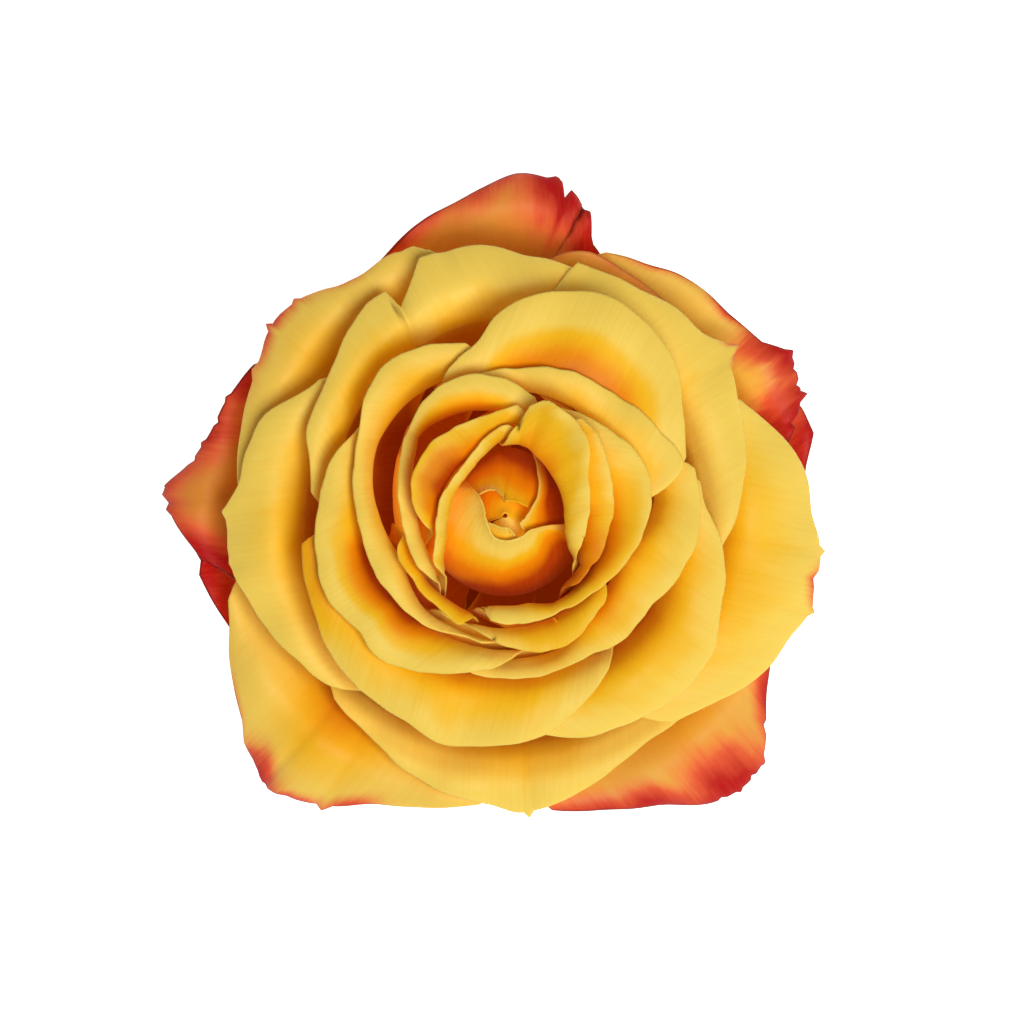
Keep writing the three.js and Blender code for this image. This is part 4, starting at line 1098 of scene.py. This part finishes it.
def build_sepal(number, direction, midline, settings):
    """Makes one sepal: a blade swept along its midline, narrowing as cos^0.8 with small side lobes.

    Its half width is half the sepal's width times 0.12 + 0.88 cos^0.8(90 share), its edges are raised by
    up to 0.8 mm, and lobes swell it at three places along each side.
    """
    points = np.array(midline, float)[None]
    samples = np.linspace(0, points.shape[1] - 1, SEPAL_SAMPLES)
    drawn = spline(points, samples[None])[0]
    lengths = np.concatenate([[0], np.linalg.norm(np.diff(drawn, axis=0), axis=1).cumsum()])
    share = np.linspace(0, 1, SEPAL_ROWS)
    reach = np.interp(share * lengths[-1], lengths, drawn[:, 0])
    height = np.interp(share * lengths[-1], lengths, drawn[:, 1])
    narrowing = np.cos(np.clip(share, 0, 0.999) * math.pi / 2) ** SEPAL_TAPER
    taper = SEPAL_TIP_SHARE + (1 - SEPAL_TIP_SHARE) * narrowing
    lobes = sum(np.exp(-((share - place) / LOBE_LENGTH) ** 2) for place in SEPAL_LOBES)
    half_width = settings.sepal_width / 2 / MM * taper * (1 + LOBE_SWELL * lobes)
    across = np.linspace(-1, 1, SEPAL_COLUMNS)[None, :]
    angle = math.radians(direction)
    outward = np.array([math.cos(angle), math.sin(angle)])
    sideways = np.array([-outward[1], outward[0]])
    width = across * half_width[:, None]
    flat = reach[:, None, None] * outward + width[:, :, None] * sideways
    share = np.broadcast_to(share[:, None], width.shape)
    raised = EDGE_RISE * np.abs(across) ** 1.5 * (1 - share)
    curl = CURL_HEIGHT * np.sin(share * CURL_TURNS + number) * across ** 2 * (1 - share)
    lift = height[:, None] + raised + curl
    grid = np.concatenate([flat, lift[:, :, None]], 2)
    normal = grid_normals(grid)
    thick = settings.sepal_thickness / MM
    keel = SEPAL_EDGE_SHARE + (1 - SEPAL_EDGE_SHARE) * (1 - across ** 2)
    half = thick / 2 * keel * (1 - SEPAL_TIP_THINNING * share)
    outer = grid + normal * half[:, :, None]
    inner = grid - normal * half[:, :, None]
    both = np.concatenate([outer.reshape(-1, 3), inner.reshape(-1, 3)])
    both[:, 2] = np.maximum(both[:, 2], -HIP_HEIGHT)
    pale = np.concatenate([np.zeros(width.size), np.full(width.size, INSIDE_PALENESS)])
    uv = np.stack([both_sides(width) / MAP_WIDTH + 0.5, both_sides(share) * SEPAL_MAP_SPAN], 1)
    name = f"sepal_{number}"
    piece = new_piece(
        name + "_blade",
        place_in_part(both),
        sheet_faces(*width.shape),
        [name],
        {"end_share": pale},
        uv,
    )
    colours = (settings.sepal_dark, settings.sepal_light, settings.sepal_inside)
    piece.data.materials.append(green_material("Rose sepal", colours, 40, 0.5))


def turned_grid(outline, sides):
    """Points of a profile turned round the axis: (radius cos a, radius sin a, height)."""
    angles = np.arange(sides) * 2 * math.pi / sides
    radius = outline[:, 0][:, None]
    height = np.repeat(outline[:, 1][:, None], sides, 1)
    return np.stack([radius * np.cos(angles), radius * np.sin(angles), height], 2)


def turned_faces(rows, sides):
    """Quads between the rings of a turned grid, facing out where the rings climb."""
    index = np.arange(rows * sides).reshape(rows, sides)
    beside = np.roll(index, -1, 1)
    quads = np.stack([index[:-1], beside[:-1], beside[1:], index[1:]], 2)
    return quads.reshape(-1, 4)


def close_ends(faces, rows, sides):
    """Adds quads across the two end rings, pairing each point with the one opposite."""
    steps = np.arange(sides // 2 - 1)
    low = np.stack([steps, (sides - 1 - steps) % sides, (sides - 2 - steps) % sides, steps + 1], 1)
    high = low[:, ::-1] + (rows - 1) * sides
    return np.concatenate([faces, low, high])


def build_stem(settings):
    """Makes the cut stem, hip and cone: a smooth profile turned round the axis, slightly ribbed.

    The radius below the hip's top is scaled by 1 + 0.018 sin(5 a), and both ends close on a ring of
    almost no radius.
    """
    cone = [points[0] for _, points in BOWLS][::-1]
    tip = cone[-1][1] + CONE_TIP_RISE
    foot_radius, foot = HIP_OUTLINE[0]
    cut_end = [[END_RADIUS, foot], [CUT_RADIUS, foot], [foot_radius, foot + CUT_CHAMFER]]
    body = np.array([[foot_radius, foot + SMOOTH_START], *HIP_OUTLINE[1:], *cone], float)
    drawn = spline(body[None], np.linspace(0, len(body) - 1, STEM_SAMPLES)[None])[0]
    outline = np.vstack([cut_end, drawn, [[END_RADIUS, tip]]])
    rows = len(outline)
    grid = turned_grid(outline, STEM_SIDES)
    turn = np.broadcast_to(np.arange(STEM_SIDES) / STEM_SIDES, (rows, STEM_SIDES))
    ribs = 1 + RIB_DEPTH * np.sin(RIB_COUNT * turn * 2 * math.pi) * (grid[:, :, 2] < RIB_TOP)
    grid[:, :, :2] *= ribs[:, :, None]
    cut = np.zeros((rows, STEM_SIDES))
    cut[:2] = CUT_PALENESS
    climb = np.repeat(outline[:, 1] / MAP_WIDTH + 1, STEM_SIDES)
    piece = new_piece(
        "stem_hip_and_cone",
        place_in_part(grid.reshape(-1, 3)),
        close_ends(turned_faces(rows, STEM_SIDES), rows, STEM_SIDES),
        ["stem_and_hip"],
        {"end_share": cut.ravel()},
        np.stack([turn.ravel() * STEM_MAP_SPAN, climb], 1),
    )
    colours = (settings.stem_dark, settings.stem_light, settings.stem_cut)
    piece.data.materials.append(green_material("Rose stem", colours, 50, 0.45))


def build_stamens(settings):
    """Makes the styles and stamens: a column with thin filaments leaning out, each with an anther.

    A filament's centre is r(t) = 0.85 + lean t^1.5 from the axis at height 12 + rise t, and its radius
    swells to the anther over the last fifth as a sine.
    """
    column = np.array(STYLE_OUTLINE)
    rows, sides = len(column), STYLE_SIDES
    grids = [turned_grid(column, sides).reshape(-1, 3)]
    faces = [close_ends(turned_faces(rows, sides), rows, sides)]
    start = rows * sides
    noise = np.random.default_rng(STAMEN_SEED)
    rows, sides = FILAMENT_ROWS, FILAMENT_SIDES
    share = np.linspace(0, 1, rows)
    swell = np.sin(np.clip((share - ANTHER_START) / (1 - ANTHER_START), 0, 1) * math.pi)
    thickness = np.maximum(FILAMENT_RADIUS * (share < 1), END_RADIUS) + ANTHER_SWELL * swell
    ring = np.arange(sides) * 2 * math.pi / sides
    circle = np.stack([np.cos(ring), np.sin(ring), np.zeros(sides)], 1)
    for turn in np.arange(FILAMENT_COUNT) * GOLDEN_TURN:
        lean = noise.uniform(*FILAMENT_LEAN)
        rise = noise.uniform(*FILAMENT_RISE)
        away = FILAMENT_AWAY + lean * share ** 1.5
        height = FILAMENT_FOOT + rise * share
        centre = np.stack([away * math.cos(turn), away * math.sin(turn), height], 1)
        tube = centre[:, None, :] + thickness[:, None, None] * circle[None]
        grids.append(tube.reshape(-1, 3))
        faces.append(close_ends(turned_faces(rows, sides), rows, sides) + start)
        start += rows * sides
    points = np.concatenate(grids)
    piece = new_piece(
        "stamen_cluster",
        place_in_part(points),
        np.concatenate(faces),
        ["stamens"],
        {"end_share": np.interp(points[:, 2], ANTHER_COLOUR_RANGE, (0, 1))},
        points[:, :2] / MAP_WIDTH + 0.5,
    )
    colours = (settings.stamen_foot, settings.stamen_foot, settings.stamen_tip)
    piece.data.materials.append(green_material("Rose stamen", colours, 30, 0.6))


def colour_property(name, words, screen):
    """A colour property with its default given as a screen colour."""
    return bpy.props.FloatVectorProperty(
        name=name,
        description=words,
        subtype="COLOR",
        size=3,
        min=0,
        max=1,
        default=linear(*screen),
    )


def length_property(name, words, metres):
    """A length property in metres."""
    return bpy.props.FloatProperty(
        name=name,
        description=words,
        default=metres,
        min=0,
        precision=5,
        subtype="DISTANCE",
        unit="LENGTH",
    )


def number_property(name, words, value, unit="NONE"):
    """A number that isn't below 0."""
    return bpy.props.FloatProperty(
        name=name,
        description=words,
        default=value,
        min=0,
        unit=unit,
    )


class RosePetalSettings(bpy.types.PropertyGroup):
    """Sizes and colours of the petals."""

    thickness: length_property("Thickness", "Petal thickness away from the rim", 0.00045)
    edge_thickness: length_property("Edge thickness", "Petal thickness at the rim", 0.00022)
    roll_width: length_property("Roll width", "How far from the rim the petal starts to roll", 0.0018)
    roll_depth: length_property("Roll depth", "How far the rim rolls outwards", 0.0003)
    ruffle: length_property("Ruffle", "Unevenness of the rim's outline", 0.00014)
    rim_colour: colour_property("Rim", "Colour at the rim", (250, 214, 92))
    body_colour: colour_property("Body", "Colour between rim and claw", (248, 190, 26))
    # Partly the petal's own deeper colour, partly painted shade of the depths.
    deep_colour: colour_property("Deep", "Colour towards the claw", (236, 138, 2))
    # Painted shade: the dark orange-brown of the shadowed crevices near the claw.
    throat_shade_colour: colour_property("Throat", "Colour near the claw", (176, 62, 2))
    warm_colour: colour_property("Warm", "Orange tint of the guard petals", (220, 122, 46))
    coral_colour: colour_property("Coral", "Pale part of the red flush", (240, 98, 58))
    red_colour: colour_property("Red", "Deep part of the red flush", (192, 12, 22))
    edge_colour: colour_property("Edge", "Thin dark border of a flushed rim", (140, 20, 24))
    back_colour: colour_property("Back", "Tint of the outer side", (246, 202, 70))
    # Strength of the painted glow, an emission that stands in for light through the petals.
    glow: number_property("Glow", "Brightness of the light that shows through the petals", 0.6)


class RoseGreenSettings(bpy.types.PropertyGroup):
    """Sizes and colours of the sepals, stem and stamens."""

    sepal_width: length_property("Sepal width", "Width of a sepal at its widest", 0.0084)
    sepal_thickness: length_property("Sepal thickness", "Thickness along a sepal's keel", 0.0009)
    sepal_dark: colour_property("Sepal dark", "Darker green of a sepal's outside", (74, 104, 42))
    sepal_light: colour_property("Sepal light", "Lighter green of a sepal's outside", (118, 146, 64))
    sepal_inside: colour_property("Sepal inside", "Pale green of a sepal's inside", (164, 184, 128))
    stem_dark: colour_property("Stem dark", "Darker green of stem and hip", (82, 116, 46))
    stem_light: colour_property("Stem light", "Lighter green of stem and hip", (128, 156, 74))
    stem_cut: colour_property("Stem cut", "Pale cut end of the stem", (206, 210, 160))
    stamen_foot: colour_property("Filament", "Colour of filaments and styles", (214, 170, 60))
    stamen_tip: colour_property("Anther", "Colour of the anthers", (196, 132, 30))


class RoseStageSettings(bpy.types.PropertyGroup):
    """Light and camera of the studio."""

    key_power: number_property("Key power", "Power of the main light", 7.2, "POWER")
    fill_power: number_property("Fill power", "Power of the light opposite the main light", 0.7, "POWER")
    sky: number_property("Sky", "Brightness of the even light from all round", 0.18)
    focal_length: bpy.props.FloatProperty(
        name="Focal length",
        description="Camera focal length in millimetres",
        default=400.0,
        min=20,
        unit="CAMERA",
    )
    floor_colour: colour_property("Floor", "Colour of the floor", (250, 250, 250))
    floor_glow: number_property("Floor glow", "Brightness of the floor of itself", 0.9)


def build_petals(group):
    """Makes the petals of one group in order from the heart outwards."""
    settings = bpy.context.scene.rose_petals
    for order, (name, petal) in enumerate(PETALS.items()):
        if petal["group"] == group:
            build_petal(name, settings, PETAL_SEED + order)


class ROSE_OT_bud(bpy.types.Operator):
    """Build the wound petals of the bud"""

    bl_idname = "rose.bud"
    bl_label = "Bud"

    def execute(self, context):
        build_petals("bud")
        return {"FINISHED"}


class ROSE_OT_heart(bpy.types.Operator):
    """Build the upright petals round the bud"""

    bl_idname = "rose.heart"
    bl_label = "Heart petals"

    def execute(self, context):
        build_petals("heart")
        return {"FINISHED"}


class ROSE_OT_middle(bpy.types.Operator):
    """Build the opening petals in the middle of the flower"""

    bl_idname = "rose.middle"
    bl_label = "Middle petals"

    def execute(self, context):
        build_petals("middle")
        return {"FINISHED"}


class ROSE_OT_outer(bpy.types.Operator):
    """Build the wide open outer petals"""

    bl_idname = "rose.outer"
    bl_label = "Outer petals"

    def execute(self, context):
        build_petals("outer")
        return {"FINISHED"}


class ROSE_OT_guard(bpy.types.Operator):
    """Build the red-edged guard petals"""

    bl_idname = "rose.guard"
    bl_label = "Guard petals"

    def execute(self, context):
        build_petals("guard")
        return {"FINISHED"}


class ROSE_OT_sepals(bpy.types.Operator):
    """Build the five sepals"""

    bl_idname = "rose.sepals"
    bl_label = "Sepals"

    def execute(self, context):
        for number, (direction, midline) in enumerate(SEPALS, 1):
            build_sepal(number, direction, midline, context.scene.rose_greens)
        return {"FINISHED"}


class ROSE_OT_stem(bpy.types.Operator):
    """Build the cut stem with its hip and the cone that the petals grow from"""

    bl_idname = "rose.stem"
    bl_label = "Stem and hip"

    def execute(self, context):
        build_stem(context.scene.rose_greens)
        return {"FINISHED"}


class ROSE_OT_stamens(bpy.types.Operator):
    """Build the styles and stamens inside the bud"""

    bl_idname = "rose.stamens"
    bl_label = "Stamens"

    def execute(self, context):
        build_stamens(context.scene.rose_greens)
        return {"FINISHED"}


def area_light(name, place, width, power):
    """A square area light at a place, turned towards the flower."""
    data = bpy.data.lights.new(name, "AREA")
    data.size = width
    data.energy = power
    light = bpy.data.objects.new(name, data)
    bpy.context.scene.collection.objects.link(light)
    light.location = place
    aim = Vector(LIGHT_TARGET) - Vector(place)
    light.rotation_euler = aim.to_track_quat("-Z", "Y").to_euler()


def build_floor(settings):
    """A wide pale floor at height 0."""
    rim = turned_grid(np.array([[FLOOR_RADIUS, 0.0]]), FLOOR_SIDES)[0]
    mesh = bpy.data.meshes.new("studio_floor")
    mesh.from_pydata(rim.tolist(), [], [list(range(FLOOR_SIDES))])
    floor = bpy.data.objects.new("studio_floor", mesh)
    bpy.context.scene.collection.objects.link(floor)
    material, _, shader = new_material("Studio floor")
    shader.inputs["Base Color"].default_value = (*settings.floor_colour, 1)
    shader.inputs["Roughness"].default_value = 0.8
    shader.inputs["Emission Color"].default_value = (1, 1, 1, 1)
    shader.inputs["Emission Strength"].default_value = settings.floor_glow
    mesh.materials.append(material)


class ROSE_OT_stage(bpy.types.Operator):
    """Set up the floor, the lights and the camera above the flower"""

    bl_idname = "rose.stage"
    bl_label = "Studio"

    def execute(self, context):
        settings = context.scene.rose_stage
        build_floor(settings)
        area_light("key_light", KEY_PLACE, KEY_WIDTH, settings.key_power)
        area_light("fill_light", FILL_PLACE, FILL_WIDTH, settings.fill_power)
        world = bpy.data.worlds.new("Studio sky")
        world.use_nodes = True
        background = world.node_tree.nodes["Background"]
        background.inputs["Color"].default_value = (1, 1, 1, 1)
        background.inputs["Strength"].default_value = settings.sky
        context.scene.world = world
        context.scene.view_settings.view_transform = "Standard"
        data = bpy.data.cameras.new("camera")
        data.lens = settings.focal_length
        data.sensor_width = SENSOR_WIDTH
        width = IMAGE_PIXELS / PIXELS_PER_MM * MM
        distance = width * data.lens / data.sensor_width
        data.clip_start = 0.05
        data.clip_end = 20
        camera = bpy.data.objects.new("camera", data)
        context.scene.collection.objects.link(camera)
        camera.location = (CAMERA_X, CAMERA_Y, SHARP_HEIGHT + distance)
        camera.rotation_euler = (0, 0, 0)
        context.scene.camera = camera
        return {"FINISHED"}


BUILDERS = (
    ROSE_OT_bud,
    ROSE_OT_heart,
    ROSE_OT_middle,
    ROSE_OT_outer,
    ROSE_OT_guard,
    ROSE_OT_sepals,
    ROSE_OT_stem,
    ROSE_OT_stamens,
    ROSE_OT_stage,
)


class ROSE_PT_panel(bpy.types.Panel):
    """Lists the steps that build the rose and their settings"""

    bl_idname = "ROSE_PT_panel"
    bl_label = "Cut Rose Head"
    bl_space_type = "VIEW_3D"
    bl_region_type = "UI"
    bl_category = "Rose"

    def draw(self, context):
        column = self.layout.column()
        for builder in BUILDERS:
            column.operator(builder.bl_idname)
        for settings in ("rose_petals", "rose_greens", "rose_stage"):
            group = getattr(context.scene, settings)
            for name in group.__annotations__:
                column.prop(group, name)


CLASSES = (RosePetalSettings, RoseGreenSettings, RoseStageSettings, *BUILDERS, ROSE_PT_panel)


def register():
    """Registers the classes and hangs the settings on the scene."""
    for item in CLASSES:
        bpy.utils.register_class(item)
    bpy.types.Scene.rose_petals = bpy.props.PointerProperty(type=RosePetalSettings)
    bpy.types.Scene.rose_greens = bpy.props.PointerProperty(type=RoseGreenSettings)
    bpy.types.Scene.rose_stage = bpy.props.PointerProperty(type=RoseStageSettings)


def unregister():
    """Takes the settings and the classes away again."""
    del bpy.types.Scene.rose_stage
    del bpy.types.Scene.rose_greens
    del bpy.types.Scene.rose_petals
    for item in reversed(CLASSES):
        bpy.utils.unregister_class(item)


def main():
    """Builds every piece in order, then the stage."""
    register()
    bpy.ops.rose.bud()
    bpy.ops.rose.heart()
    bpy.ops.rose.middle()
    bpy.ops.rose.outer()
    bpy.ops.rose.guard()
    bpy.ops.rose.sepals()
    bpy.ops.rose.stem()
    bpy.ops.rose.stamens()
    bpy.ops.rose.stage()


if __name__ == "__main__":
    main()
